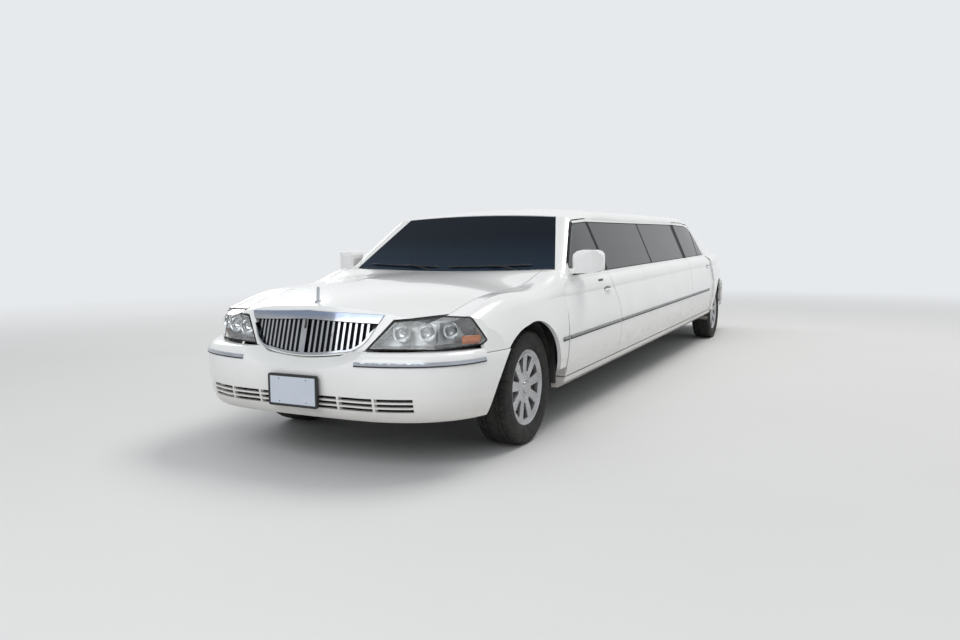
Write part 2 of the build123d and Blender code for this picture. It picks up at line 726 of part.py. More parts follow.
# Windscreen opening in plan, and the pane that fills it
SCREEN_FOOT = (-700.0, 802.0)
SCREEN_HEAD = (-1225.0, 608.0)
SCREEN_FOOT_MID = -606.0


def screen_prism(grow):
    """Upright prism of the windscreen's outline in plan, made larger by grow."""
    with BuildPart() as prism:
        with BuildSketch(Plane.XY.offset(860)):
            with BuildLine():
                foot = (SCREEN_FOOT[0] + grow, SCREEN_FOOT[1] + grow)
                head = (SCREEN_HEAD[0] - grow, SCREEN_HEAD[1] + grow)
                ThreePointArc((foot[0], -foot[1]), (SCREEN_FOOT_MID + grow, 0), foot)
                for way in (1, -1):
                    Line((foot[0], way * foot[1]), (head[0], way * head[1]))
                Line((head[0], -head[1]), head)
            make_face()
        extrude(amount=700)
    return prism.part


# Cowl: dark panel between the hood's rear edge and the windscreen's foot
COWL_DROP = 14.0
COWL_HALF = 780.0
with BuildPart() as cowl:
    add(body_form(MID_SECTIONS[:3], COWL_DROP, 0, 700, ruled=True))
    add(body_form(MID_SECTIONS[:3], COWL_DROP + PANEL, 0, 600, ruled=True), mode=Mode.SUBTRACT)
    add(cross_block((-692, -560), (-COWL_HALF, COWL_HALF), (900, 1100)), mode=Mode.INTERSECT)
    add(plan_prism(hood_plan(-SHUT_GAP), 300, 1300), mode=Mode.SUBTRACT)
    add(screen_prism(0), mode=Mode.SUBTRACT)
keep(cowl.part, "cowl")

with BuildPart() as windscreen:
    add(pane_shell)
    add(screen_prism(-FIT_GAP), mode=Mode.INTERSECT)
keep(windscreen.part, "windscreen")

# Door outlines in side view.  The front door's rear edge bows rearward below the belt
FRONT_DOOR = [(-498, 335), (-498, 925), (-606, 968), (-668, 985), (-1164, 1348), (-1200, 1360),
              (-1507, 1377), (-1545, 990), (-1534, 905)]
FRONT_DOOR_BOW = [(-1640, 710), (-1668, 500), (-1655, 335)]
REAR_DOOR = [(-4403, 335), (-4403, 1379), (-4750, 1377), (-5180, 1356), (-5310, 1296),
             (-5410, 1150), (-5462, 1012), (-5600, 935), (-5608, 700), (-5590, 560),
             (-5545, 420), (-5525, 335)]


def front_door_prism(grow, low_y, high_y):
    """Side-view prism of the left front door, made larger by grow."""
    with BuildPart() as prism:
        with BuildSketch(Plane.XZ.offset(-low_y)):
            with BuildLine():
                Polyline(*FRONT_DOOR)
                ThreePointArc(FRONT_DOOR[-1], FRONT_DOOR_BOW[0], FRONT_DOOR_BOW[1])
                Polyline(FRONT_DOOR_BOW[1], FRONT_DOOR_BOW[2], FRONT_DOOR[0])
            make_face()
            if grow:
                offset(amount=grow, kind=Kind.INTERSECTION)
        extrude(amount=low_y - high_y)
    return prism.part


FRONT_GLASS = [(-790, 988), (-1528, 990), (-1492, 1350), (-1190, 1336), (-1150, 1313), (-790, 1050)]
SIDE_GLASSES = [
    [(-1590, 991), (-2920, 997), (-2924, 1350), (-1552, 1350)],
    [(-2968, 997), (-4296, 1003), (-4290, 1350), (-2964, 1350)],
]
REAR_GLASSES = [
    [(-4446, 1004), (-5066, 1007), (-5220, 1290), (-5170, 1314), (-5000, 1338), (-4444, 1350)],
    [(-5100, 1008), (-5394, 1010), (-5336, 1160), (-5258, 1276)],
]
GLASS_ROUND = 22.0

# Cabin wall: lower wall and greenhouse as one shell, from the front doors to the rear ones
cabin_outer = joined(mid_outer, glass_outer)
cabin_inner = joined(mid_inner, cabin_roof_inner)
cabin_shell = less(cabin_outer, cabin_inner)
left_half = cross_block((-7000, 300), (300, 1200), (DOOR_BOTTOM_Z, 1390))
cabin_left = common(cabin_shell, left_half)

side_pane_shell = common(pane_shell, cross_block((-6000, -700), (500, 1100), (940, 1400)))


def panes(outlines):
    """Window panes on the left side, as solids that don't touch."""
    with BuildPart() as glass:
        for outline in outlines:
            add(common(side_pane_shell, side_prism(outline, 400, 1100, GLASS_ROUND, -SEAT_GAP)))
    return glass.part


# Behind the skin of the doors' upper frames: the frame is drawn in there, so that it swings clear
frame_inside = common(glass_inner, cross_block((-7000, -400), (300, 1200), (900, 1400)))

# Door mirror: housing and foot, part of the front door
MIRROR_PLAN = [(-742, 925), (-752, 985), (-780, 1040), (-822, 1075), (-870, 1090), (-925, 1084),
               (-938, 930), (-885, 903), (-762, 903)]
MIRROR_FRONT = [(903, 1012), (903, 1098), (912, 1126), (932, 1146), (965, 1155), (1035, 1152),
                (1065, 1142), (1083, 1119), (1090, 1080), (1089, 1036), (1076, 1010), (1050, 1000),
                (935, 996)]
MIRROR_SIDE = [(-962, 985), (-962, 1165), (-835, 1165), (-775, 1146), (-745, 1112), (-735, 1060),
               (-735, 985)]
mirror_block = common(plan_prism(MIRROR_PLAN, 960, 1170, 18), front_prism(MIRROR_FRONT, -1000, -700, 12))
mirror_housing = common(mirror_block, side_prism(MIRROR_SIDE, 850, 1150, 16))
mirror_foot = common(front_prism([(865, 996), (930, 996), (938, 1030), (867, 1030)], -787, -738),
                     front_door_prism(0, 300, 1200))

with BuildPart() as door_front_left:
    add(cabin_left)
    add(front_door_prism(0, 300, 1200), mode=Mode.INTERSECT)
    add(less(frame_inside, front_door_prism(-DOOR_FLANGE, 300, 1200)), mode=Mode.SUBTRACT)
    add(side_prism(FRONT_GLASS, 300, 1200, GLASS_ROUND), mode=Mode.SUBTRACT)
    add(mirror_housing)
    add(less(mirror_foot, cabin_inner))
keep(door_front_left.part, "door_front_left")
keep(mirrored(door_front_left.part), "door_front_right")
front_pane = panes([FRONT_GLASS])
keep(front_pane, "glass_front_left")
keep(mirrored(front_pane), "glass_front_right")

with BuildPart() as door_rear_left:
    add(cabin_left)
    add(side_prism(REAR_DOOR, 300, 1200), mode=Mode.INTERSECT)
    add(less(frame_inside, side_prism(REAR_DOOR, 300, 1200, 0, -DOOR_FLANGE)), mode=Mode.SUBTRACT)
    for outline in REAR_GLASSES:
        add(side_prism(outline, 300, 1200, GLASS_ROUND), mode=Mode.SUBTRACT)
keep(door_rear_left.part, "door_rear_left")
keep(mirrored(door_rear_left.part), "door_rear_right")
rear_panes = panes(REAR_GLASSES)
keep(rear_panes, "glass_rear_left")
keep(mirrored(rear_panes), "glass_rear_right")

# Fixed side panel between the doors
SIDE_PANEL = [(-1500, 335), (-1500, 1377), (REAR_DOOR[0][0] + DOOR_GAP, 1379),
              (REAR_DOOR[0][0] + DOOR_GAP, 335)]
with BuildPart() as side_panel_left:
    add(cabin_left)
    add(side_prism(SIDE_PANEL, 300, 1200), mode=Mode.INTERSECT)
    add(front_door_prism(DOOR_GAP, 200, 1300), mode=Mode.SUBTRACT)
    for outline in SIDE_GLASSES:
        add(side_prism(outline, 300, 1200, GLASS_ROUND), mode=Mode.SUBTRACT)
keep(side_panel_left.part, "side_panel_left")
keep(mirrored(side_panel_left.part), "side_panel_right")
side_panes = panes(SIDE_GLASSES)

# Roof: everything of the greenhouse shell over the doors and side panels, from the
# windscreen's foot to the rear glass, with the pillars beside the windscreen
ROOF_REAR_X = -5560.0
ROOF_FOOT_Z = 1030.0
PILLAR_FOOT_Y = 806.0
roof_cut_front = front_door_prism(DOOR_GAP, 300, 1300)
roof_cut_side = side_prism([(x, z + SEAT_GAP if z > 1000 else z) for x, z in SIDE_PANEL], 300, 1300)
roof_cut_rear = side_prism(REAR_DOOR, 300, 1300, 0, DOOR_GAP)
greenhouse_shell = less(glass_outer, cabin_roof_inner)
with BuildPart() as roof_panel:
    add(greenhouse_shell)
    add(cross_block((ROOF_REAR_X, -640), (-1200, 1200), (985, 1600)), mode=Mode.INTERSECT)
    add(cross_block((-5700, -5400), (-1200, 1200), (900, ROOF_FOOT_Z)), mode=Mode.SUBTRACT)
    add(cross_block((-700, -500), (-PILLAR_FOOT_Y, PILLAR_FOOT_Y), (900, 1100)), mode=Mode.SUBTRACT)
    add(moved(front_outer, 0, 0, 2 * SEAT_GAP), mode=Mode.SUBTRACT)
    add(screen_prism(0), mode=Mode.SUBTRACT)
    for cut in (roof_cut_front, roof_cut_side, roof_cut_rear):
        add(cut, mode=Mode.SUBTRACT)
        add(mirrored(cut), mode=Mode.SUBTRACT)
keep(roof_panel.part, "roof_panel")

# Rear glass opening in plan, and its pane; the side panes share its node
REAR_GLASS_HEAD = (-5600.0, 560.0)
REAR_GLASS_FOOT = (-6230.0, 655.0)


def rear_glass_prism(grow):
    """Upright prism of the rear glass's outline in plan, made larger by grow."""
    head = (REAR_GLASS_HEAD[0] + grow, REAR_GLASS_HEAD[1] + grow)
    foot = (REAR_GLASS_FOOT[0] - grow, REAR_GLASS_FOOT[1] + grow)
    outline = [head, foot, (foot[0], -foot[1]), (head[0], -head[1])]
    return plan_prism(outline, 800, 1600, 40)


with BuildPart() as fixed_windows:
    add(side_panes)
    add(mirrored(side_panes))
    add(common(pane_shell, rear_glass_prism(-SEAT_GAP)))
keep(fixed_windows.part, "fixed_windows")

# Trunk lid region: plan outline on top, narrower between the tail lamps behind
TRUNK_FRONT_X = -6330.0
TRUNK_EDGE = [(TRUNK_FRONT_X, 655), (-7340, 564)]
LAMP_EDGE_Y = 522.0
TAIL_LAMP_LOW_Z = 668.0
TAIL_LAMP_HIGH_Z = 905.0
REAR_SEAM_Z = 640.0


def trunk_region(gap):
    """Where the trunk lid is, made smaller by gap."""
    edge = [(TRUNK_EDGE[0][0] - gap, TRUNK_EDGE[0][1] - gap), (TRUNK_EDGE[1][0], TRUNK_EDGE[1][1] - gap),
            (-7700, TRUNK_EDGE[1][1] - gap)]
    top = plan_prism(edge + [(x, -y) for x, y in reversed(edge)], 600, 1200)
    window = front_prism([(-LAMP_EDGE_Y + gap, REAR_SEAM_Z + gap), (LAMP_EDGE_Y - gap, REAR_SEAM_Z + gap),
                          (LAMP_EDGE_Y + 26 - gap, TAIL_LAMP_HIGH_Z + gap), (800, TAIL_LAMP_HIGH_Z + gap),
                          (800, 1200), (-800, 1200), (-800, TAIL_LAMP_HIGH_Z + gap),
                          (-LAMP_EDGE_Y - 26 + gap, TAIL_LAMP_HIGH_Z + gap)], -7700, -7250)
    return common(top, joined(window, cross_block((-7250, -6000), (-900, 900), (850, 1200))))


with BuildPart() as trunk_lid:
    add(rear_shell)
    add(trunk_region(HALF_GAP), mode=Mode.INTERSECT)
keep(trunk_lid.part, "trunk_lid")

# Tail lamps at the corners, on both sides of the lid
tail_lamp_region = front_prism([(LAMP_EDGE_Y, TAIL_LAMP_LOW_Z), (1100, TAIL_LAMP_LOW_Z),
                                (1100, TAIL_LAMP_HIGH_Z - 6), (LAMP_EDGE_Y + 26, TAIL_LAMP_HIGH_Z)],
                               -7700, -7215)
with BuildPart() as tail_lamp:
    add(rear_shell)
    add(tail_lamp_region, mode=Mode.INTERSECT)
with BuildPart() as tail_lamps:
    add(tail_lamp.part)
    add(mirrored(tail_lamp.part))
keep(tail_lamps.part, "tail_lamps")

# Rear bumper cover
REAR_BUMPER_LEVELS = [(300, 60), (350, 22), (430, 4), (590, 0), (REAR_SEAM_Z - 2, 24)]


def rear_bumper_form(extra, levels):
    """Solid lofted through the rear bumper's outlines; extra sets it in for the inside."""
    with BuildPart() as form:
        for height, back in levels:
            d = back + extra
            e = back * 0.3 + extra
            with BuildSketch(Plane.XY.offset(height)):
                with BuildLine():
                    ThreePointArc((TAIL_X + 36 + d, -540), (TAIL_X + d, 0), (TAIL_X + 36 + d, 540))
                    for way in (1, -1):
                        ThreePointArc((TAIL_X + 36 + d, way * 540),
                                      (TAIL_X + 110 + d, way * (712 - e)),
                                      (TAIL_X + 250 + d, way * (816 - e)))
                        ThreePointArc((TAIL_X + 250 + d, way * (816 - e)),
                                      (TAIL_X + 560 + d * 0.5, way * (876 - e)),
                                      (-6500, way * (938 - e)))
                    Line((-6500, 938 - e), (-6500, -938 + e))
                make_face()
        loft()
    return form.part


REAR_LID_FLANGE = 70.0
rear_bumper_inner = rear_bumper_form(BUMPER_WALL, [(240, 60), (350, 24), (430, 6), (590, 2), (615, 10)])
with BuildPart() as rear_bumper:
    add(rear_bumper_form(0, REAR_BUMPER_LEVELS))
    add(rear_bumper_inner, mode=Mode.SUBTRACT)
    add(rear_bumper_form(REAR_LID_FLANGE, [(600, 0), (700, 0)]), mode=Mode.SUBTRACT)
    add(cross_block((-6620, -6000), (-1200, 1200), (0, 900)), mode=Mode.SUBTRACT)
keep(rear_bumper.part, "rear_bumper")

# Quarter panel, left: the rear wall with the arch, and the pillar beside the rear glass
DECK_HALF = 558.0
quarter_low = common(rear_shell, cross_block((-7700, -5500), (0, 1200), (ROCKER_Z, 1100)))
quarter_pillar = common(greenhouse_shell, cross_block((-6420, -5500), (0, 1200), (985, 1500)))
with BuildPart() as quarter_left:
    add(quarter_low)
    add(rear_inner, mode=Mode.SUBTRACT)
    add(quarter_pillar)
    add(cross_block((-5700, -5000), (0, 1200), (0, DOOR_BOTTOM_Z)), mode=Mode.SUBTRACT)
    add(cross_block((ROOF_REAR_X - SEAT_GAP, -5000), (0, 1200), (ROOF_FOOT_Z - SEAT_GAP, 1600)),
        mode=Mode.SUBTRACT)
    add(roof_cut_rear, mode=Mode.SUBTRACT)
    add(rear_glass_prism(0), mode=Mode.SUBTRACT)
    add(cross_block((-6262, -5400), (-10, 640), (800, 1075)), mode=Mode.SUBTRACT)
    add(trunk_region(-HALF_GAP), mode=Mode.SUBTRACT)
    add(cross_block((-7700, -6000), (-10, DECK_HALF + SEAT_GAP), (600, 1200)), mode=Mode.SUBTRACT)
    add(tail_lamp_region, mode=Mode.SUBTRACT)
    add(cross_block((-7700, -6617), (0, 1200), (0, REAR_SEAM_Z)), mode=Mode.SUBTRACT)
    add(rear_arch, mode=Mode.SUBTRACT)
quarter_piece = quarter_left.part.solids().sort_by(SortBy.VOLUME)[-1]
with BuildPart() as quarter_one:
    add(quarter_piece)
keep(quarter_one.part, "quarter_left")
keep(mirrored(quarter_one.part), "quarter_right")

# Rear deck: the strip between the rear glass and the lid, with the shelf under the glass
with BuildPart() as rear_deck:
    add(common(rear_shell, cross_block((-6322, -6236), (-DECK_HALF, DECK_HALF), (900, 1100))))
    block((-6322, -5700), (-DECK_HALF, DECK_HALF), (960, 990))
    block((-6322, -6300), (-DECK_HALF, DECK_HALF), (RAIL_ARCH_Z + RAIL_TALL + SHEET + 2 * SEAT_GAP, 970))
keep(rear_deck.part, "rear_deck")

# Tyre and rim, drawn about the wheel's own centre with its axis along y
RIM_WELL_R = 196.0
DISC_FACE_Y = 74.0
DISC_THICK = 14.0
HUB_SEAT_Y = 38.0
HUB_PAD_R = 78.0
BRAKE_R = 150.0
BRAKE_THICK = 24.0
WINDOW_IN_R = 96.0
WINDOW_OUT_R = 202.0


def tyre_piece():
    """Road tyre: beads in the rim's seats, rounded sidewalls, a nearly flat tread."""
    with BuildPart() as tyre:
        with BuildSketch(Plane.XY):
            with BuildLine():
                for way in (1, -1):
                    Polyline((RIM_LIP_R - 14, 0), (RIM_LIP_R - 14, way * 83.6), (RIM_LIP_R + 1, way * 84.2),
                             (RIM_LIP_R + 3, way * 95))
                    ThreePointArc((RIM_LIP_R + 3, way * 95), (RIM_LIP_R + 50, way * TYRE_HALF),
                                  (TYRE_R - 22, way * 105))
                    ThreePointArc((TYRE_R - 22, way * 105), (TYRE_R - 8, way * 98),
                                  (TYRE_R - 2.5, way * 84))
                    Polyline((TYRE_R - 2.5, way * 84), (TYRE_R, way * 40), (TYRE_R - 7, way * 37),
                             (TYRE_R - 7, way * 31), (TYRE_R, way * 28), (TYRE_R, 0))
            make_face()
        revolve(axis=Axis.Y)
    return tyre.part


def rim_piece():
    """Alloy rim with nine flat blades between wide windows, its hub, cap and brake disc."""
    half = [(0, DISC_FACE_Y + 16), (CAP_R - 4, DISC_FACE_Y + 14), (CAP_R, DISC_FACE_Y + 6),
            (CAP_R + 30, DISC_FACE_Y), (WINDOW_OUT_R, DISC_FACE_Y + 8), (RIM_LIP_R - 14.4, RIM_HALF - 4),
            (RIM_LIP_R - 6, RIM_HALF), (RIM_LIP_R, RIM_HALF - 3), (RIM_LIP_R - 3, RIM_HALF - 12),
            (RIM_LIP_R - 14.4, RIM_HALF - 13), (RIM_LIP_R - 14.4, 13 - RIM_HALF),
            (RIM_LIP_R - 3, 12 - RIM_HALF), (RIM_LIP_R, 3 - RIM_HALF), (RIM_LIP_R - 6, -RIM_HALF),
            (RIM_WELL_R + 8, -RIM_HALF), (RIM_WELL_R, 20 - RIM_HALF), (RIM_WELL_R, DISC_FACE_Y - 28),
            (WINDOW_OUT_R - 8, DISC_FACE_Y - 8), (HUB_PAD_R + 14, DISC_FACE_Y - DISC_THICK),
            (HUB_PAD_R, DISC_FACE_Y - 22), (HUB_PAD_R, HUB_SEAT_Y), (0, HUB_SEAT_Y)]
    with BuildPart() as rim:
        with BuildSketch(Plane.XY):
            with BuildLine():
                Polyline(*half, close=True)
            make_face()
        revolve(axis=Axis.Y)
        with BuildSketch(Plane.XZ.offset(-200)):
            with PolarLocations(0, SPOKES, 90 + 180 / SPOKES):
                Polygon((WINDOW_IN_R, -9), (WINDOW_OUT_R - 10, -36), (WINDOW_OUT_R - 10, 36),
                        (WINDOW_IN_R, 9), align=None)
        extrude(amount=200 - HUB_SEAT_Y, mode=Mode.SUBTRACT)
        with BuildSketch(Plane.XZ.offset(-HUB_SEAT_Y - 1)):
            Circle(HUB_PAD_R)
        extrude(amount=HUB_SEAT_Y + 1 - BRAKE_THICK / 2)
        with BuildSketch(Plane.XZ.offset(-BRAKE_THICK)):
            Circle(BRAKE_R)
        extrude(amount=BRAKE_THICK)
    return rim.part


FRONT_PLACE = (0.0, FRONT_TRACK_HALF, TYRE_R)
REAR_PLACE = (-WHEELBASE, REAR_TRACK_HALF, TYRE_R)
tyre_form = tyre_piece()
rim_form = rim_piece()
for end, place in (("front", FRONT_PLACE), ("rear", REAR_PLACE)):
    for piece_name, form in (("tyre", tyre_form), ("rim", rim_form)):
        placed_left = moved(form, *place)
        keep(placed_left, f"{piece_name}_{end}_left", raked=False)
        keep(mirrored(placed_left), f"{piece_name}_{end}_right", raked=False)

# Steering knuckles: an upright on the kingpin line, the hub carrier, the steering arm and
# the brake caliper, which stays clear of the disc
KINGPIN_Y = 715.0
KNUCKLE_LOW_Z = 206.0
KNUCKLE_HIGH_Z = 486.0
ARM_X = -150.0
ARM_Y = 630.0
TIE_ROD_Z = 205.0
DISC_CLEAR = 5.0
CALIPER_X = (-178.0, -112.0)
CALIPER_Y = (FRONT_TRACK_HALF - 32, FRONT_TRACK_HALF + BRAKE_THICK + 31)
CALIPER_Z = (TYRE_R - 48, TYRE_R + 48)
with BuildPart() as knuckle_left:
    block((-24, 24), (KINGPIN_Y - 20, KINGPIN_Y + 20), (KNUCKLE_LOW_Z, KNUCKLE_HIGH_Z))
    with BuildSketch(Plane.XZ.offset(-KINGPIN_Y + 18)):
        with Locations((0, TYRE_R)):
            Circle(62)
    extrude(amount=-(FRONT_TRACK_HALF - SEAT_GAP - KINGPIN_Y + 18))
    with BuildSketch(Plane.XY.offset(KNUCKLE_LOW_Z + 22)):
        with BuildLine():
            Polyline((16, KINGPIN_Y - 14), (-16, KINGPIN_Y + 14), (ARM_X - 16, ARM_Y + 14),
                     (ARM_X - 16, ARM_Y - 16), (ARM_X + 14, ARM_Y - 18), close=True)
        make_face()
    extrude(amount=22)
    block(CALIPER_X, (CALIPER_Y[0], FRONT_TRACK_HALF - DISC_CLEAR), CALIPER_Z)
    block(CALIPER_X, (FRONT_TRACK_HALF + BRAKE_THICK + DISC_CLEAR, CALIPER_Y[1]), CALIPER_Z)
    block((CALIPER_X[0], -BRAKE_R - 6), CALIPER_Y, CALIPER_Z)
    block((-130, 0), (CALIPER_Y[0], CALIPER_Y[0] + 20), (TYRE_R - 40, TYRE_R + 40))
keep(knuckle_left.part, "knuckle_left", raked=False)
keep(mirrored(knuckle_left.part), "knuckle_right", raked=False)

# Steering rod: slides across the vehicle inside the rack's tube, its ends under the arms
ROD_R = 11.0
with BuildPart() as tie_rod:
    rod((ARM_X, -ARM_Y - 6, TIE_ROD_Z), (ARM_X, ARM_Y + 6, TIE_ROD_Z), ROD_R)
    for way in (1, -1):
        rod((ARM_X, way * ARM_Y, TIE_ROD_Z - 14), (ARM_X, way * ARM_Y, KNUCKLE_LOW_Z + 22 - SEAT_GAP), 15)
keep(tie_rod.part, "tie_rod", raked=False)

# Front suspension: crossmember, rack tube, lower and upper arms and spring units
RAIL_Y = (402.0, 466.0)
TOWER_Y = (345.0, RAIL_Y[0] - SEAT_GAP)
ENGINE_LOW_Z = 335.0
ARM_ROOT_Y = 380.0
with BuildPart() as front_suspension:
    block((-70, 90), (-392, 392), (226, ENGINE_LOW_Z - 1.6))
    rod((ARM_X, -300, TIE_ROD_Z), (ARM_X, 300, TIE_ROD_Z), 34)
    block((ARM_X, -60), (-230, 230), (TIE_ROD_Z - 10, TIE_ROD_Z + 40))
    rod((ARM_X, -310, TIE_ROD_Z), (ARM_X, 310, TIE_ROD_Z), ROD_R + 6, mode=Mode.SUBTRACT)
    for way in (1, -1):
        for root_x in (75, -50):
            rod((root_x, way * ARM_ROOT_Y, 250), (0, way * KINGPIN_Y, KNUCKLE_LOW_Z - 25), 17)
        rod((0, way * KINGPIN_Y, KNUCKLE_LOW_Z - 38), (0, way * KINGPIN_Y, KNUCKLE_LOW_Z - SEAT_GAP), 22)
        for root_x in (60, -60):
            rod((root_x, way * 360, 545), (0, way * KINGPIN_Y, KNUCKLE_HIGH_Z + 22), 13)
        rod((0, way * KINGPIN_Y, KNUCKLE_HIGH_Z + SEAT_GAP), (0, way * KINGPIN_Y, KNUCKLE_HIGH_Z + 36), 18)
        rod((15, way * 560, 225), (15, way * 470, 600), 30)
        rod((15, way * 520, 390), (15, way * 472, 590), 42)
        rod((15, way * 470, 600), (15, way * 455, 650), 16)
        block((-75, 85), sorted((way * TOWER_Y[0], way * TOWER_Y[1])), (300, 668))
        block((-60, 90), sorted((way * 390, way * 505)), (640, 668))
keep(front_suspension.part, "front_suspension", raked=False)

# Chassis frame: two rails of straight lengths, dropped between the axles, and crossmembers
RAIL_LOW_Z = 192.0
RAIL_END_Z = 340.0
RAIL_PATH = [(900, ENGINE_LOW_Z), (-250, ENGINE_LOW_Z), (-455, RAIL_LOW_Z), (-5230, RAIL_LOW_Z),
             (-5560, RAIL_ARCH_Z), (-6440, RAIL_ARCH_Z), (-6800, RAIL_END_Z), (-7400, RAIL_END_Z)]
CROSS_PLACES = [(800, ENGINE_LOW_Z), (-1100, RAIL_LOW_Z), (-2050, RAIL_LOW_Z), (-3430, RAIL_LOW_Z),
                (-4810, RAIL_LOW_Z), (-6900, RAIL_END_Z), (-7360, RAIL_END_Z)]
CROSS_TALL = 24.0
CROSS_HALF = RAIL_Y[0] - SEAT_GAP
TOW_EYE = (-7362.0, 200.0, 270.0)
TOW_EYE_R = 14.0
JOIN = SEAT_GAP / 2
with BuildPart() as chassis_frame:
    for way in (1, -1):
        span = sorted((way * RAIL_Y[0], way * RAIL_Y[1]))
        for (front_x, front_z), (rear_x, rear_z) in zip(RAIL_PATH, RAIL_PATH[1:]):
            add(side_prism([(front_x - JOIN, front_z), (rear_x + JOIN, rear_z),
                            (rear_x + JOIN, rear_z + RAIL_TALL), (front_x - JOIN, front_z + RAIL_TALL)],
                           span[0], span[1]))
        add(common(cross_block((890, 1100), span, (ENGINE_LOW_Z, ENGINE_LOW_Z + RAIL_TALL)), bumper_inner))
        add(common(cross_block((-7600, -7390), span, (RAIL_END_Z, RAIL_END_Z + RAIL_TALL)),
                   rear_bumper_inner))
    for x, low in CROSS_PLACES:
        block((x - 45, x + 45), (-CROSS_HALF, CROSS_HALF), (low, low + CROSS_TALL))
    block((-7400, -7322), (TOW_EYE[1] - 10, TOW_EYE[1] + 10), (TOW_EYE[2] - 30, RAIL_END_Z - SEAT_GAP))
    with Locations(Location(TOW_EYE, (90, 0, 0))):
        Cylinder(TOW_EYE_R, 30, mode=Mode.SUBTRACT)
keep(chassis_frame.part, "chassis_frame")

# Engine and gearbox as one plain block in its real place
SHAFT_Z = 300.0
GEARBOX_END_X = -1180.0
with BuildPart() as engine:
    block((-330, 330), (-255, 255), (ENGINE_LOW_Z, 815))
    with BuildSketch(Plane.YZ.offset(-330 - SEAT_GAP)):
        with Locations((0, SHAFT_Z + 30)):
            Circle(125)
    with BuildSketch(Plane.YZ.offset(GEARBOX_END_X)):
        with Locations((0, SHAFT_Z)):
            Circle(62)
    loft()
keep(engine.part, "engine")

# Driveshaft with its centre bearings, which stand on the crossmembers
SHAFT_END_X = REAR_AXLE_X + 197.0
SHAFT_DROP = 26.0
SHAFT_R = 38.0
BEARING_PLACES = (-2050, -3430, -4810)
SHAFT_ENDS = ((GEARBOX_END_X - SEAT_GAP, 0, SHAFT_Z), (SHAFT_END_X, 0, SHAFT_Z - SHAFT_DROP))
with BuildPart() as bearings:
    for x in BEARING_PLACES:
        sunk = (x - GEARBOX_END_X) / (SHAFT_END_X - GEARBOX_END_X) * SHAFT_DROP
        rod((x - 35, 0, SHAFT_Z - sunk), (x + 35, 0, SHAFT_Z - sunk), 62)
        block((x - 30, x + 30), (-80, 80), (RAIL_LOW_Z + CROSS_TALL + SEAT_GAP, SHAFT_Z - sunk - 20))
    rod(SHAFT_ENDS[0], SHAFT_ENDS[1], SHAFT_R + SEAT_GAP, mode=Mode.SUBTRACT)
with BuildPart() as driveshaft:
    rod(SHAFT_ENDS[0], SHAFT_ENDS[1], SHAFT_R)
    add(bearings.part)
keep(driveshaft.part, "driveshaft")

# Rear axle: tube, differential, hubs, springs under the frame, trailing arms
HUB_FACE_Y = REAR_TRACK_HALF - SEAT_GAP
SPRING_TOP_Z = RAIL_ARCH_Z * LEAN_COS + WHEELBASE * LEAN_SIN - 1.0
TRAIL_PIVOT = (-WHEELBASE + 850, 303.0)
with BuildPart() as rear_axle:
    rod((-WHEELBASE, -HUB_FACE_Y, TYRE_R), (-WHEELBASE, HUB_FACE_Y, TYRE_R), 42)
    with Locations((-WHEELBASE, 0, TYRE_R)):
        Sphere(138)
    rod((-WHEELBASE + 100, 0, TYRE_R), (-WHEELBASE + 196, 0, TYRE_R), 60)
    for way in (1, -1):
        rod((-WHEELBASE, way * (HUB_FACE_Y - 60), TYRE_R), (-WHEELBASE, way * HUB_FACE_Y, TYRE_R), 68)
        rod((-WHEELBASE, way * 434, TYRE_R + 20), (-WHEELBASE, way * 434, SPRING_TOP_Z), 58)
        rod((-WHEELBASE, way * 560, TYRE_R - 20), (TRAIL_PIVOT[0], way * 505, TRAIL_PIVOT[1]), 24)
        rod((TRAIL_PIVOT[0], way * (RAIL_Y[1] + SEAT_GAP), TRAIL_PIVOT[1]),
            (TRAIL_PIVOT[0], way * 535, TRAIL_PIVOT[1]), 34)
keep(rear_axle.part, "rear_axle", raked=False)

# Inner fenders: a wheel house each side with the apron plate along the engine bay, which is
# open for the suspension's upper arms and spring unit
LINER_AWAY = 24.0
LINER_WALL = 6.0
APRON_Y = (RAIL_Y[1] + SEAT_GAP, RAIL_Y[1] + 8)
with BuildPart() as inner_fender:
    add(less(front_opening(LINER_AWAY + LINER_WALL, APRON_Y[0], 888),
             front_opening(LINER_AWAY, APRON_Y[0] - 1, 900)))
    block((-465, 745), APRON_Y, (436, 790))
    block((-110, 125), (450, 480), (430, 690), mode=Mode.SUBTRACT)
    add(cross_block((-466, 760), (450, 925), (345, 795)), mode=Mode.INTERSECT)
    add(front_inner, mode=Mode.INTERSECT)
    add(tub_left.part, mode=Mode.SUBTRACT)
with BuildPart() as inner_fenders:
    add(inner_fender.part)
    add(mirrored(inner_fender.part))
keep(inner_fenders.part, "inner_fenders")

# Radiator on the front crossmember
with BuildPart() as radiator:
    block((766, 820), (-345, 345), (ENGINE_LOW_Z + CROSS_TALL + SEAT_GAP, 780))
keep(radiator.part, "radiator")

# Body floor: flat sheets that butt together.  Columns: low and high x, y and z; a sheet that
# lies off the middle stands for one each side
FLOOR_Z = RAIL_LOW_Z + RAIL_TALL + SEAT_GAP
FLOOR_TOP_Z = FLOOR_Z + SHEET
OVER_AXLE_Z = RAIL_ARCH_Z + RAIL_TALL + SEAT_GAP
TRUNK_FLOOR_Z = RAIL_END_Z + RAIL_TALL + SEAT_GAP
BULKHEAD_X = (-490.0, -470.0)
RISER_X = (-5420.0, -5400.0)
STEP_X = -6440.0
BETWEEN_WHEELS = 645.0
TUNNEL_HALF = 150.0
TUNNEL_TOP_Z = 470.0
SILL_TOP_Z = DOOR_BOTTOM_Z - 5
OVER_AXLE_TOP_Z = OVER_AXLE_Z + SHEET
UNDER_TUNNEL_Z = TUNNEL_TOP_Z - SHEET
TRUNK_TOP_Z = TRUNK_FLOOR_Z + SHEET
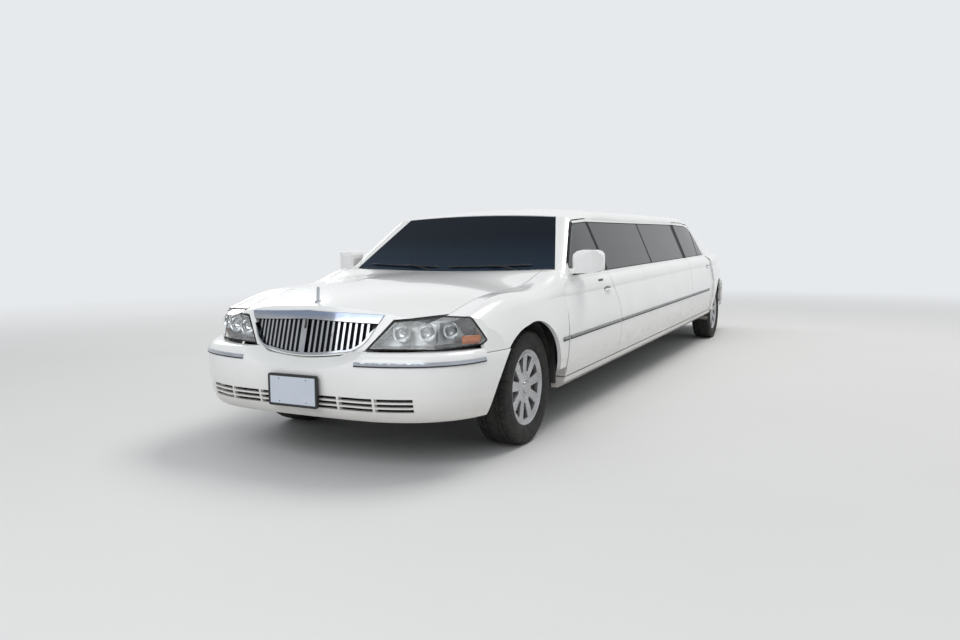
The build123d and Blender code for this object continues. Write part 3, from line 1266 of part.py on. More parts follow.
Sheet = namedtuple("Sheet", "x0 x1 y0 y1 z0 z1")
CABIN_END_X = RISER_X[1] + SEAT_GAP
CABIN_X = BULKHEAD_X[0] - SEAT_GAP
INSIDE_RAIL_Y = RAIL_Y[0] - 1
OUTSIDE_RAIL_Y = RAIL_Y[1] + 1
FLOOR_SHEETS = [
    Sheet(CABIN_END_X, CABIN_X, -TUNNEL_HALF, TUNNEL_HALF, UNDER_TUNNEL_Z, TUNNEL_TOP_Z),
    Sheet(CABIN_END_X, CABIN_X, TUNNEL_HALF - SHEET, TUNNEL_HALF, FLOOR_Z, UNDER_TUNNEL_Z - SEAT_GAP),
    Sheet(-5230, CABIN_X, TUNNEL_HALF + SEAT_GAP, 849.7, FLOOR_Z, FLOOR_TOP_Z),
    Sheet(CABIN_END_X, -5230.3, TUNNEL_HALF + SEAT_GAP, INSIDE_RAIL_Y, FLOOR_Z, FLOOR_TOP_Z),
    Sheet(CABIN_END_X, -5230.3, OUTSIDE_RAIL_Y, 849.7, FLOOR_Z, FLOOR_TOP_Z),
    Sheet(*BULKHEAD_X, TUNNEL_HALF - SHEET, 885, FLOOR_Z, UNDER_TUNNEL_Z - SEAT_GAP),
    Sheet(*BULKHEAD_X, -885, 885, UNDER_TUNNEL_Z, 820),
    Sheet(*BULKHEAD_X, -760, 760, 820.3, 925),
    Sheet(-690, CABIN_X, -770, 770, 905, 925),
    Sheet(*RISER_X, TUNNEL_HALF - SHEET, INSIDE_RAIL_Y, FLOOR_Z, UNDER_TUNNEL_Z - SEAT_GAP),
    Sheet(*RISER_X, -INSIDE_RAIL_Y, INSIDE_RAIL_Y, UNDER_TUNNEL_Z, OVER_AXLE_TOP_Z),
    Sheet(*RISER_X, INSIDE_RAIL_Y + SEAT_GAP, OUTSIDE_RAIL_Y, 430, OVER_AXLE_TOP_Z),
    Sheet(*RISER_X, OUTSIDE_RAIL_Y + SEAT_GAP, 849.7, FLOOR_Z, OVER_AXLE_TOP_Z),
    Sheet(STEP_X - SHEET, RISER_X[0] - SEAT_GAP, -BETWEEN_WHEELS, BETWEEN_WHEELS, OVER_AXLE_Z,
          OVER_AXLE_TOP_Z),
    Sheet(STEP_X - SHEET, STEP_X, -INSIDE_RAIL_Y, INSIDE_RAIL_Y, TRUNK_FLOOR_Z, OVER_AXLE_Z - SEAT_GAP),
    Sheet(STEP_X - SHEET, STEP_X, OUTSIDE_RAIL_Y, BETWEEN_WHEELS, TRUNK_FLOOR_Z, OVER_AXLE_Z - SEAT_GAP),
    Sheet(-6804.7, STEP_X - SHEET - SEAT_GAP, -INSIDE_RAIL_Y, INSIDE_RAIL_Y, TRUNK_FLOOR_Z, TRUNK_TOP_Z),
    Sheet(-6804.7, STEP_X - SHEET - SEAT_GAP, OUTSIDE_RAIL_Y, BETWEEN_WHEELS, TRUNK_FLOOR_Z, TRUNK_TOP_Z),
    Sheet(-7300, -6805, -BETWEEN_WHEELS, BETWEEN_WHEELS, TRUNK_FLOOR_Z, TRUNK_TOP_Z),
    Sheet(-7392, -7300.3, -540, 540, TRUNK_FLOOR_Z, TRUNK_TOP_Z),
]
cowl_underside = body_form(MID_SECTIONS[:3], COWL_DROP + PANEL + SEAT_GAP, 0, 600, ruled=True)
with BuildPart() as body_floor:
    for s in FLOOR_SHEETS:
        block((s.x0, s.x1), (s.y0, s.y1), (s.z0, s.z1))
        if s.y0 > 0:
            block((s.x0, s.x1), (-s.y1, -s.y0), (s.z0, s.z1))
    add(common(cross_block((-690, -640), (-560, 560), (925 + SEAT_GAP, 990)), cowl_underside))
keep(body_floor.part, "body_floor")

# Rockers: the white sills under the doors, from the front wheel's opening to the rear one's
with BuildPart() as rocker_left:
    add(mid_outer)
    add(cross_block((REAR_AXLE_X + REAR_ARCH_R, FRONT_DOOR_X - 3), (850, 1200), (200, SILL_TOP_Z)),
        mode=Mode.INTERSECT)
keep(rocker_left.part, "rocker_left")
keep(mirrored(rocker_left.part), "rocker_right")

# Rear wheel houses, from the over-axle floor out to the quarter panels
with BuildPart() as wheel_house:
    with BuildSketch(Plane.XZ.offset(-BETWEEN_WHEELS - SEAT_GAP)):
        with Locations((REAR_AXLE_X, REAR_AXLE_Z + REAR_ARCH_RISE)):
            Circle(REAR_ARCH_R + 12 + LINER_WALL)
            Circle(REAR_ARCH_R + 12, mode=Mode.SUBTRACT)
    extrude(amount=-(960 - BETWEEN_WHEELS))
    with BuildSketch(Plane.XZ.offset(-BETWEEN_WHEELS - SEAT_GAP)):
        with Locations((REAR_AXLE_X, REAR_AXLE_Z + REAR_ARCH_RISE)):
            Circle(REAR_ARCH_R + 12 + LINER_WALL)
    extrude(amount=-8)
    add(cross_block((-6600, -5425), (600, 1000), (TRUNK_FLOOR_Z, 800)), mode=Mode.INTERSECT)
    add(rear_inner, mode=Mode.INTERSECT)
with BuildPart() as wheel_houses:
    add(wheel_house.part)
    add(mirrored(wheel_house.part))
keep(wheel_houses.part, "wheel_houses")

# Exhaust: a pipe along the left of the tunnel, a silencer, and a side exit by the wheel
PIPE_R = 22.0
PIPE_PATH = [(-250, 200, ENGINE_LOW_Z - SEAT_GAP - PIPE_R), (-430, 255, 252), (-5080, 255, 252),
             (-5490, 330, 308), (-5520, 600, 308), (-5560, 780, 226), (-5590, 925, 222)]
with BuildPart() as exhaust:
    for start, end in zip(PIPE_PATH, PIPE_PATH[1:]):
        rod(start, end, PIPE_R)
    for corner in PIPE_PATH[1:-1]:
        with Locations(corner):
            Sphere(PIPE_R + 3)
    block((-4650, -3560), (185, 385), (RAIL_LOW_Z + CROSS_TALL + 6, FLOOR_Z - SEAT_GAP))
    block((-2900, -2400), (195, 375), (RAIL_LOW_Z + CROSS_TALL + 6, FLOOR_Z - SEAT_GAP))
keep(exhaust.part, "exhaust")

# Fuel tank between the rails under the trunk floor
with BuildPart() as fuel_tank:
    block((-6830, -6490), (-RAIL_Y[0] + 12, RAIL_Y[0] - 12), (235, TRUNK_FLOOR_Z - SEAT_GAP))
keep(fuel_tank.part, "fuel_tank")

# Dashboard, steering column and wheel
DASH = [(-690 - SEAT_GAP, 620), (-690 - SEAT_GAP, 948), (-770, 958), (-872, 930), (-900, 830), (-850, 640)]
WHEEL_MIDDLE = (-1015.0, 400.0, 905.0)
WHEEL_TILT = 64.0
with BuildPart() as dashboard:
    add(side_prism(DASH, -785, 785, 8))
    block((-850, -700), (-120, 120), (FLOOR_TOP_Z + TUNNEL_TOP_Z - FLOOR_Z - SHEET + SEAT_GAP, 640))
keep(dashboard.part, "dashboard")
with BuildPart() as steering_wheel:
    with Locations(Location(WHEEL_MIDDLE, (0, WHEEL_TILT, 0))):
        Torus(182, 13)
        Cylinder(52, 34)
        for angle in (0, 180, 90):
            with Locations(Location((0, 0, 0), (0, 0, angle))):
                with Locations((90, 0, 0)):
                    Box(184, 26, 14)
    rod(WHEEL_MIDDLE, (WHEEL_MIDDLE[0] + 190, WHEEL_MIDDLE[1], WHEEL_MIDDLE[2] - 93), 30)
    add(dashboard.part, mode=Mode.SUBTRACT)
steering_solid = steering_wheel.part.solids().sort_by(SortBy.VOLUME)[-1]
with BuildPart() as steering_piece:
    add(steering_solid)
keep(steering_piece.part, "steering_wheel")

# Front seats: cushion and leaning back with a head restraint, on a base
SEAT_FOOT_Z = FLOOR_TOP_Z + SEAT_GAP
SEAT_SIDE = [(-1060, SEAT_FOOT_Z), (-1060, 500), (-1030, 560), (-1060, 590), (-1430, 560),
             (-1560, 1020), (-1590, 1150), (-1650, 1160), (-1690, 1020), (-1620, 560), (-1600, SEAT_FOOT_Z)]
with BuildPart() as front_seats:
    for low_y, high_y in ((170, 670), (-670, -170)):
        add(side_prism(SEAT_SIDE, low_y, high_y, 10))
keep(front_seats.part, "front_seats")

# Partition behind the front seats, in flat panels about its window opening.  Columns: height
# and half width of each panel's foot and head, and how far from the middle it starts
Panel = namedtuple("Panel", "low_z low_y high_z high_y inner_y")
PARTITION_PANELS = [
    Panel(SEAT_FOOT_Z, 849, TUNNEL_TOP_Z + SEAT_GAP, 849, TUNNEL_HALF + SEAT_GAP),
    Panel(TUNNEL_TOP_Z + 2 * SEAT_GAP, 849, 880, 849, 0),
    Panel(880 + SEAT_GAP, 849, 990 - SEAT_GAP, 805, 0),
    Panel(990, 805, 1250, 700, 560),
    Panel(1250 + SEAT_GAP, 700, 1330, 668, 0),
]
with BuildPart() as partition:
    for p in PARTITION_PANELS:
        for way in (1, -1) if p.inner_y else (1,):
            inner = way * p.inner_y if p.inner_y else 0
            edge = ([(inner, p.low_z), (inner, p.high_z)] if p.inner_y
                    else [(-p.low_y, p.low_z), (-p.high_y, p.high_z)])
            add(front_prism(edge + [(way * p.high_y, p.high_z), (way * p.low_y, p.low_z)], -1790, -1750))
keep(partition.part, "partition")

# Lounge seats: a long bench on the right and the rear bench across
BENCH_SIDE = [(-846, SEAT_FOOT_Z), (-846, 880), (-800, 900), (-740, 860), (-700, 560), (-330, 545),
              (-310, 500), (-330, SEAT_FOOT_Z)]
REAR_BENCH = [(-4900, SEAT_FOOT_Z), (-4880, 520), (-4900, 560), (-5310, 560), (-5440, 1010), (-5490, 1030),
              (-5540, 1000), (-5440, OVER_AXLE_TOP_Z + SEAT_GAP), (-5395, OVER_AXLE_TOP_Z + SEAT_GAP),
              (-5395, 432), (-5220, SEAT_FOOT_Z)]
with BuildPart() as lounge_seats:
    with BuildSketch(Plane.YZ.offset(-4700)):
        with BuildLine():
            FilletPolyline(*BENCH_SIDE, radius=12, close=True)
        make_face()
    extrude(amount=2700)
    for low_y, high_y in ((TUNNEL_HALF + 2, 630), (-630, -TUNNEL_HALF - 2)):
        add(side_prism(REAR_BENCH, low_y, high_y, 6))
    block((-5310, -4905), (-160, 160), (TUNNEL_TOP_Z + SEAT_GAP, 555))
keep(lounge_seats.part, "lounge_seats")

# Bar console on the left
with BuildPart() as bar_console:
    block((-3950, -2250), (480, 845), (SEAT_FOOT_Z, 800))
    block((-3920, -2280), (470, 700), (560, 760), mode=Mode.SUBTRACT)
keep(bar_console.part, "bar_console")

# Placing: the sprung pieces take the slight nose-down lean, and all are moved so that the
# frame's origin lies on the road under the middle of the vehicle
TAIL_BACK_X = TAIL_X * LEAN_COS + 500 * LEAN_SIN
FRAME_SHIFT = -(PLATE_FACE_X + TAIL_BACK_X) / 2
for piece, label, raked in pieces:
    place = Location((FRAME_SHIFT, 0, 0))
    if raked:
        place = place * Location((0, 0, 0), (0, RAKE, 0))
    placed = piece.moved(place)
    placed.label = label
    export_step(placed, f"parts/{label}.step")
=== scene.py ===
import json
import math

import bmesh
import bpy
from mathutils import Matrix, Vector
from mathutils.bvhtree import BVHTree


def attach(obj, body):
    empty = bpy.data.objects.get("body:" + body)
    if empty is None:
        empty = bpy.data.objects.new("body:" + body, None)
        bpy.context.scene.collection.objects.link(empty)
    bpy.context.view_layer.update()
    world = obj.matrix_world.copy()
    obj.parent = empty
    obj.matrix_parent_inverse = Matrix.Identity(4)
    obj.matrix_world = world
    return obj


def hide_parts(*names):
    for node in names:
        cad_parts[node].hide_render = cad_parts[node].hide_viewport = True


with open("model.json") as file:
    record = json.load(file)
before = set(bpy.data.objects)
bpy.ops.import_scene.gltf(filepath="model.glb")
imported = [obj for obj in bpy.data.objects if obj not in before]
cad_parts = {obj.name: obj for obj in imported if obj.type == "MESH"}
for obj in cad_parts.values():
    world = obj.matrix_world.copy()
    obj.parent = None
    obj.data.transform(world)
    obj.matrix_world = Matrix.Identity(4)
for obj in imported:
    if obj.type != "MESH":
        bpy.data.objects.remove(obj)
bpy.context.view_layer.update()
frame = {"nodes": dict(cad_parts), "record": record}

# The body's own frame: it leans nose down by RAKE about the road point under the front axle,
# which lies SHIFT ahead of the row frame's origin.  Shapes are given in it in millimetres, and
# the places in materials in metres.
RAKE = math.radians(0.70)
SHIFT = 3.199666
SIN, COS = math.sin(RAKE), math.cos(RAKE)
SIDES = (("left", 1), ("right", -1))


def body_point(x, y, z):
    """Row-frame place in metres of a point given in the body's own frame, in millimetres."""
    return Vector((x * COS + z * SIN, y, -x * SIN + z * COS)) / 1000 + Vector((SHIFT, 0, 0))


# Nodes of materials

def nodes_of(name):
    """A new node material with its tree, its shader and its coordinates in the row frame."""
    mat = bpy.data.materials.new(name)
    mat.use_nodes = True
    tree = mat.node_tree
    where = tree.nodes.new("ShaderNodeTexCoord")
    return mat, tree, tree.nodes["Principled BSDF"], where.outputs["Object"]


def link(tree, a, b):
    tree.links.new(a, b)


def noise(tree, at, scale, detail=3.0, rough=0.55, squash=(1, 1, 1)):
    """Noise of a given scale, in metres to the minus one."""
    if squash != (1, 1, 1):
        mapping = tree.nodes.new("ShaderNodeMapping")
        mapping.inputs["Scale"].default_value = squash
        link(tree, at, mapping.inputs["Vector"])
        at = mapping.outputs["Vector"]
    node = tree.nodes.new("ShaderNodeTexNoise")
    node.inputs["Scale"].default_value = scale
    node.inputs["Detail"].default_value = detail
    node.inputs["Roughness"].default_value = rough
    link(tree, at, node.inputs["Vector"])
    return node.outputs["Fac"]


def ramp(tree, value, low, high, to_low=0.0, to_high=1.0):
    """Value carried smoothly from one range to another, clamped."""
    node = tree.nodes.new("ShaderNodeMapRange")
    node.interpolation_type = "SMOOTHSTEP"
    node.inputs["From Min"].default_value = low
    node.inputs["From Max"].default_value = high
    node.inputs["To Min"].default_value = to_low
    node.inputs["To Max"].default_value = to_high
    link(tree, value, node.inputs["Value"])
    return node.outputs["Result"]


def math_node(tree, op, a, b):
    """Result of one calculation; a and b are numbers or sockets."""
    node = tree.nodes.new("ShaderNodeMath")
    node.operation = op
    for socket, value in zip(node.inputs, (a, b)):
        if isinstance(value, (int, float)):
            socket.default_value = value
        else:
            link(tree, value, socket)
    return node.outputs[0]


def product(tree, a, b):
    return math_node(tree, "MULTIPLY", a, b)


def total(tree, a, b):
    return math_node(tree, "ADD", a, b)


def either_of(tree, masks):
    """The largest of several masks."""
    whole = masks[0]
    for mask in masks[1:]:
        whole = math_node(tree, "MAXIMUM", whole, mask)
    return whole


def closer_than(tree, value, limit):
    """1 where value is nearer to nought than limit, on either side."""
    return math_node(tree, "LESS_THAN", math_node(tree, "ABSOLUTE", value, 0.0), limit)


def inside(tree, value, low, high):
    """1 where value lies between low and high, with a narrow soft edge."""
    edge = 0.0015
    return product(tree, ramp(tree, value, low - edge, low + edge),
                   ramp(tree, value, high - edge, high + edge, 1.0, 0.0))


def edge_band(tree, a, b, start, end, width):
    """1 to the right of the line from start to end, and up to width to its left."""
    run = Vector((end[0] - start[0], end[1] - start[1])).normalized()
    away = total(tree, product(tree, a, -run.y), product(tree, b, run.x))
    away = total(tree, away, start[0] * run.y - start[1] * run.x)
    return ramp(tree, away, width * 1.15, width * 0.85)


def stroke(tree, a, b, start, end, half):
    """1 within half of the straight line from start to end."""
    length = math.dist(start, end)
    run = ((end[0] - start[0]) / length, (end[1] - start[1]) / length)
    along = total(tree, product(tree, a, run[0]), product(tree, b, run[1]))
    away = math_node(tree, "SUBTRACT", product(tree, b, run[0]), product(tree, a, run[1]))
    from_start = start[0] * run[0] + start[1] * run[1]
    middle = start[1] * run[0] - start[0] * run[1]
    return product(tree, inside(tree, along, from_start, from_start + length),
                   inside(tree, away, middle - half, middle + half))


def mix_colour(tree, fac, a, b):
    """Colour between a and b, which are tuples or sockets."""
    node = tree.nodes.new("ShaderNodeMix")
    node.data_type = "RGBA"
    link(tree, fac, node.inputs["Factor"])
    for socket, value in ((node.inputs["A"], a), (node.inputs["B"], b)):
        if isinstance(value, tuple):
            socket.default_value = (*value, 1)
        else:
            link(tree, value, socket)
    return node.outputs["Result"]


def bump(tree, shader, height, strength, distance):
    node = tree.nodes.new("ShaderNodeBump")
    node.inputs["Strength"].default_value = strength
    node.inputs["Distance"].default_value = distance
    link(tree, height, node.inputs["Height"])
    link(tree, node.outputs["Normal"], shader.inputs["Normal"])


def body_axes(tree, at):
    """Coordinates of the shaded point in the body's own frame, in metres, one output for each."""
    mapping = tree.nodes.new("ShaderNodeMapping")
    mapping.inputs["Rotation"].default_value = (0, -RAKE, 0)
    mapping.inputs["Location"].default_value = (-SHIFT * COS, 0, -SHIFT * SIN)
    link(tree, at, mapping.inputs["Vector"])
    split = tree.nodes.new("ShaderNodeSeparateXYZ")
    link(tree, mapping.outputs["Vector"], split.inputs["Vector"])
    return split.outputs["X"], split.outputs["Y"], split.outputs["Z"]


def reopened(mat):
    """Tree, shader and body-frame coordinates of a material that gets more nodes."""
    tree = mat.node_tree
    axes = body_axes(tree, tree.nodes["Texture Coordinate"].outputs["Object"])
    return tree, tree.nodes["Principled BSDF"], axes


def shown(tree, shader, fac, other):
    """Blend of two shaders: the first where fac is 0, the other where it is 1."""
    blend = tree.nodes.new("ShaderNodeMixShader")
    link(tree, fac, blend.inputs["Fac"])
    link(tree, shader.outputs[0], blend.inputs[1])
    link(tree, other.outputs[0], blend.inputs[2])
    return blend


def second_shader(tree, shader, mask, colour, rough):
    """Shows another plain surface where the mask is 1, and returns the blend of both."""
    other = tree.nodes.new("ShaderNodeBsdfPrincipled")
    other.inputs["Base Color"].default_value = (*colour, 1)
    other.inputs["Roughness"].default_value = rough
    other.inputs["Specular IOR Level"].default_value = 0.2
    blend = shown(tree, shader, mask, other)
    link(tree, blend.outputs[0], tree.nodes["Material Output"].inputs["Surface"])
    return blend


# Materials

def surface(name, dark, light, rough, metal=0.0, grain=40.0, bump_by=0.15, depth=0.0004, coat=0.0,
            squash=(1, 1, 1), rough_spread=0.12):
    """Procedural material: colour between two values by a noise, roughness and bump by another."""
    mat, tree, shader, at = nodes_of(name)
    patch = noise(tree, at, grain * 0.18, squash=squash)
    fine = noise(tree, at, grain, squash=squash)
    link(tree, mix_colour(tree, ramp(tree, patch, 0.3, 0.7), dark, light), shader.inputs["Base Color"])
    link(tree, ramp(tree, fine, 0.25, 0.75, max(rough - rough_spread, 0.02), rough + rough_spread),
         shader.inputs["Roughness"])
    shader.inputs["Metallic"].default_value = metal
    shader.inputs["Coat Weight"].default_value = coat
    shader.inputs["Coat Roughness"].default_value = 0.05
    if bump_by:
        bump(tree, shader, fine, bump_by, depth)
    return mat


# Dark bands between the side windows, in the body's frame: x range at the bottom, height range and
# how far forward the band leans for each metre of height
PILLARS = [(-1.595, -1.522, 0.992, 1.353, 0.103), (-2.972, -2.916, 0.992, 1.353, 0.0),
           (-4.450, -4.288, 0.994, 1.353, 0.0), (-5.109, -5.060, 1.003, 1.285, -0.567)]
# Seals along the windows' upper edges, as points of the side view
SEALS = [(-1.190, 1.337), (-1.492, 1.352), (-4.444, 1.352), (-5.000, 1.340), (-5.172, 1.316),
         (-5.224, 1.292), (-5.262, 1.278), (-5.340, 1.162), (-5.396, 1.012)]
SEAL_HALF = 0.006
# Seal at the front edge of the front doors' glass
DOOR_SEALS = [(-0.778, 0.990), (-0.778, 1.058), (-1.143, 1.325), (-1.190, 1.347)]
DOOR_SEAL_HALF = 0.012
# Above the doors' sides, which end at WAIST, only the mirrors stand further out than GLASS_REACH
GLASS_REACH, WAIST = 0.893, (0.960, 0.955)
# The cabin's length, and the least inward turn of a face (its normal's y times its y) that is trimmed
CABIN_X, CABIN_FACING = (-5.62, -0.51), -0.2
# Dark line under the windows: x range, rise for each metre towards the nose, height range at x = 0
BELT_X, BELT_RISE, BELT_Z = (-5.40, -0.785), 0.0048, (0.9765, 0.9855)
# Heights between which the road dust fades out
DUST_TOP, DUST_FOOT = 0.60, 0.22
DUST_BROWN = (0.40, 0.34, 0.27)
BAND_BLACK = (0.010, 0.010, 0.011)
SEAL_BLACK = (0.012, 0.012, 0.012)
TRIM_GREY = (0.035, 0.034, 0.034)


def dark_bands(tree, x, y, z, door_seals):
    """1 on the bands between the side windows, on their seals and on the line under them."""
    bands = []
    for x0, x1, z0, z1, lean in PILLARS:
        upright = math_node(tree, "SUBTRACT", x, product(tree, z, lean))
        bands.append(product(tree, inside(tree, upright, x0 - lean * z0, x1 - lean * z0),
                             inside(tree, z, z0, z1)))
    for start, end in zip(SEALS, SEALS[1:]):
        bands.append(stroke(tree, x, z, start, end, SEAL_HALF))
    if door_seals:
        near = closer_than(tree, y, GLASS_REACH)
        for start, end in zip(DOOR_SEALS, DOOR_SEALS[1:]):
            bands.append(product(tree, stroke(tree, x, z, start, end, DOOR_SEAL_HALF), near))
    belt = total(tree, z, product(tree, x, BELT_RISE))
    bands.append(product(tree, inside(tree, belt, *BELT_Z), inside(tree, x, *BELT_X)))
    return either_of(tree, bands)


def cabin_faces(tree, x, y, z):
    """1 on the faces that look into the cabin."""
    facing = tree.nodes.new("ShaderNodeSeparateXYZ")
    link(tree, tree.nodes["Texture Coordinate"].outputs["Normal"], facing.inputs["Vector"])
    inward = math_node(tree, "LESS_THAN", product(tree, facing.outputs["Y"], y), CABIN_FACING)
    side = either_of(tree, [ramp(tree, z, *WAIST), closer_than(tree, y, GLASS_REACH)])
    return product(tree, inward, product(tree, inside(tree, x, *CABIN_X), side))


def paint(name, door_seals=False):
    """White paint with a clear coat, road dust low down, black bands and trim inside the cabin."""
    mat, tree, shader, at = nodes_of(name)
    x, y, z = body_axes(tree, at)
    blotch = noise(tree, at, 2.2, 4.0)
    speck = noise(tree, at, 120.0, 4.0, 0.7)
    dust = product(tree, ramp(tree, z, DUST_TOP, DUST_FOOT), ramp(tree, blotch, 0.25, 0.85, 0.35, 0.65))
    dust = product(tree, dust, ramp(tree, speck, 0.2, 0.8, 0.6, 1.0))
    colour = mix_colour(tree, ramp(tree, blotch, 0.3, 0.7), (0.80, 0.80, 0.79), (0.83, 0.83, 0.82))
    link(tree, mix_colour(tree, dust, colour, DUST_BROWN), shader.inputs["Base Color"])
    link(tree, ramp(tree, total(tree, dust, product(tree, speck, 0.08)), 0.0, 0.8, 0.22, 0.6),
         shader.inputs["Roughness"])
    shader.inputs["Coat Weight"].default_value = 0.7
    shader.inputs["Coat Roughness"].default_value = 0.04
    bump(tree, shader, noise(tree, at, 900.0, 1.0), 0.02, 0.0002)
    banded = second_shader(tree, shader, dark_bands(tree, x, y, z, door_seals), BAND_BLACK, 0.55)
    second_shader(tree, banded, cabin_faces(tree, x, y, z), TRIM_GREY, 0.6)
    return mat


def glass(name, colour, through, rough=0.01, gloss=0.5, spread=0.05):
    """Tinted pane: see-through by the given share, with faint dust on it."""
    mat, tree, shader, at = nodes_of(name)
    smear = noise(tree, at, 3.0, 5.0, 0.6)
    dusty = tuple(min(1, c * 1.25 + 0.004) for c in colour)
    link(tree, mix_colour(tree, ramp(tree, smear, 0.35, 0.7), colour, dusty), shader.inputs["Base Color"])
    link(tree, ramp(tree, smear, 0.3, 0.8, rough, rough + spread), shader.inputs["Roughness"])
    shader.inputs["Specular IOR Level"].default_value = gloss
    shader.inputs["Transmission Weight"].default_value = through
    shader.inputs["IOR"].default_value = 1.45
    return mat


# Edges of the lamp lens: seen from the front as (y, z) lines, and from the side as (x, z) lines,
# each with the width of the seal along it
LENS_FRONT = [((0.372, 0.669), (1.1, 0.669), 0.0065), ((1.1, 0.838), (0.690, 0.833), 0.0065),
              ((0.690, 0.833), (0.499, 0.818), 0.0065), ((0.499, 0.818), (0.372, 0.669), 0.006)]
LENS_SIDE = [((0.640, 0.838), (0.582, 0.706), 0.007), ((0.582, 0.706), (0.612, 0.684), 0.007),
             ((0.612, 0.684), (0.800, 0.667), 0.008)]


def lens_glass():
    """Clear lamp lens with the dark seal that runs round its edge."""
    mat = glass("lamp_lens", (0.88, 0.90, 0.90), 0.97, rough=0.0, spread=0.012)
    tree, shader, (x, y, z) = reopened(mat)
    y = math_node(tree, "ABSOLUTE", y, 0.0)
    seals = [edge_band(tree, y, z, *edge) for edge in LENS_FRONT]
    seals += [edge_band(tree, x, z, *edge) for edge in LENS_SIDE]
    second_shader(tree, shader, either_of(tree, seals), SEAL_BLACK, 0.5)
    return mat


# The number plate on its holder, in the row frame: half width, height range and start of its face
PLATE_HALF, PLATE_Z, PLATE_X = 0.149, (0.367, 0.513), (1.078 + SHIFT, 1.080 + SHIFT)


def plate_plastic():
    """Black holder with the plain blank plate on its face."""
    mat, tree, shader, at = nodes_of("plate_and_holder")
    split = tree.nodes.new("ShaderNodeSeparateXYZ")
    link(tree, at, split.inputs["Vector"])
    x, y, z = split.outputs
    face = product(tree, inside(tree, y, -PLATE_HALF, PLATE_HALF), inside(tree, z, *PLATE_Z))
    face = product(tree, face, ramp(tree, x, *PLATE_X))
    shade = noise(tree, at, 9.0)
    plate = mix_colour(tree, shade, (0.50, 0.54, 0.62), (0.58, 0.62, 0.69))
    link(tree, mix_colour(tree, face, (0.012, 0.012, 0.013), plate), shader.inputs["Base Color"])
    link(tree, ramp(tree, shade, 0.2, 0.8, 0.35, 0.5), shader.inputs["Roughness"])
    return mat


# Heights over which the bumper strip turns to its dark lower edge, the grille's bars to its upper band
# with its painted sky reflection and the windscreen's foot to its top
STRIP_EDGE, GRILLE_SKY_REFLECTION_BAND, SCREEN_RISE = (0.6050, 0.6035), (0.815, 0.850), (1.00, 1.30)


def strip_chrome():
    """Bright strip with a dark line along its lower edge."""
    mat = surface("bumper_strip_chrome", (0.36, 0.38, 0.42), (0.46, 0.48, 0.52), 0.14, metal=1.0,
                  grain=25, bump_by=0.02, rough_spread=0.05)
    tree, shader, (x, y, z) = reopened(mat)
    second_shader(tree, shader, ramp(tree, z, *STRIP_EDGE), SEAL_BLACK, 0.5)
    return mat


def grille_chrome():
    """Bright metal whose upper band is bluer and darker than the bars, a painted reflection of the blue
    sky.
    """
    mat = surface("grille_chrome", (0.34, 0.35, 0.37), (0.42, 0.43, 0.45), 0.13, metal=1.0, grain=25,
                  bump_by=0.02, rough_spread=0.05)
    tree, shader, (x, y, z) = reopened(mat)
    bars = shader.inputs["Base Color"].links[0].from_socket
    # Painted reflection: the sky mirrored in the upper band is painted in as a bluish dark grey
    link(tree, mix_colour(tree, ramp(tree, z, *GRILLE_SKY_REFLECTION_BAND), bars, (0.24, 0.28, 0.37)),
         shader.inputs["Base Color"])
    return mat


def screen_glass():
    """Windscreen: bluish glass, lighter towards its foot."""
    mat = glass("windscreen_glass", (0.04, 0.07, 0.11), 0.78, gloss=0.4)
    tree, shader, (x, y, z) = reopened(mat)
    shade = mix_colour(tree, ramp(tree, z, *SCREEN_RISE), (0.050, 0.095, 0.155), (0.014, 0.024, 0.045))
    link(tree, shade, shader.inputs["Base Color"])
    return mat


MATERIALS = {
    "body_paint": paint("white_paint"),
    "floor_sheet": surface("underbody_sheet", (0.03, 0.03, 0.03), (0.07, 0.065, 0.06), 0.7, grain=30),
    "liner": surface("wheel_liner", (0.015, 0.015, 0.015), (0.035, 0.033, 0.03), 0.85, grain=60,
                     bump_by=0.4),
    "chrome": surface("bright_chrome", (0.42, 0.44, 0.48), (0.52, 0.54, 0.57), 0.12, metal=1.0, grain=25,
                      bump_by=0.02, rough_spread=0.05),
    "clear_lens": lens_glass(),
    "lamp_tub": surface("lamp_tub", (0.38, 0.39, 0.39), (0.50, 0.51, 0.51), 0.26, metal=0.7, grain=6,
                        bump_by=0.0, rough_spread=0.04),
    "black_plastic": surface("black_plastic", (0.010, 0.010, 0.011), (0.022, 0.022, 0.023), 0.45,
                             grain=300, bump_by=0.25),
    "clear_glass": glass("light_tint_glass", (0.040, 0.055, 0.055), 0.90, gloss=0.3),
    "dark_glass": glass("dark_tint_glass", (0.008, 0.009, 0.011), 0.60),
    "red_lens": surface("tail_lens", (0.24, 0.008, 0.008), (0.34, 0.012, 0.010), 0.15, grain=80, coat=0.8),
    "cast": surface("cast_metal", (0.05, 0.048, 0.045), (0.13, 0.11, 0.09), 0.75, metal=0.5, grain=70,
                    bump_by=0.5, depth=0.001),
    "steel": surface("dull_steel", (0.14, 0.13, 0.12), (0.30, 0.28, 0.26), 0.5, metal=0.9, grain=50),
    "frame_steel": surface("frame_paint", (0.012, 0.012, 0.012), (0.05, 0.04, 0.032), 0.6, grain=40),
    "alloy": surface("wheel_alloy", (0.42, 0.42, 0.43), (0.52, 0.52, 0.53), 0.34, metal=0.75, grain=60,
                     bump_by=0.05),
    "dark_trim": surface("dark_trim", (0.018, 0.018, 0.019), (0.035, 0.035, 0.036), 0.6, grain=260,
                         bump_by=0.3),
    "leather": surface("seat_leather", (0.02, 0.02, 0.021), (0.042, 0.04, 0.04), 0.5, grain=420,
                       bump_by=0.45, depth=0.0006),
    "wood": surface("console_wood", (0.10, 0.04, 0.015), (0.24, 0.11, 0.045), 0.3, grain=26, coat=0.6,
                    squash=(0.15, 1, 1), bump_by=0.1),
    "tyre": surface("tyre_rubber", (0.012, 0.012, 0.012), (0.03, 0.028, 0.025), 0.85, grain=120,
                    bump_by=0.3),
}
slot_of = {s["node"]: s["material_slot"] for s in frame["record"]["subparts"]}
door_paint = paint("white_paint_front_door", door_seals=True)
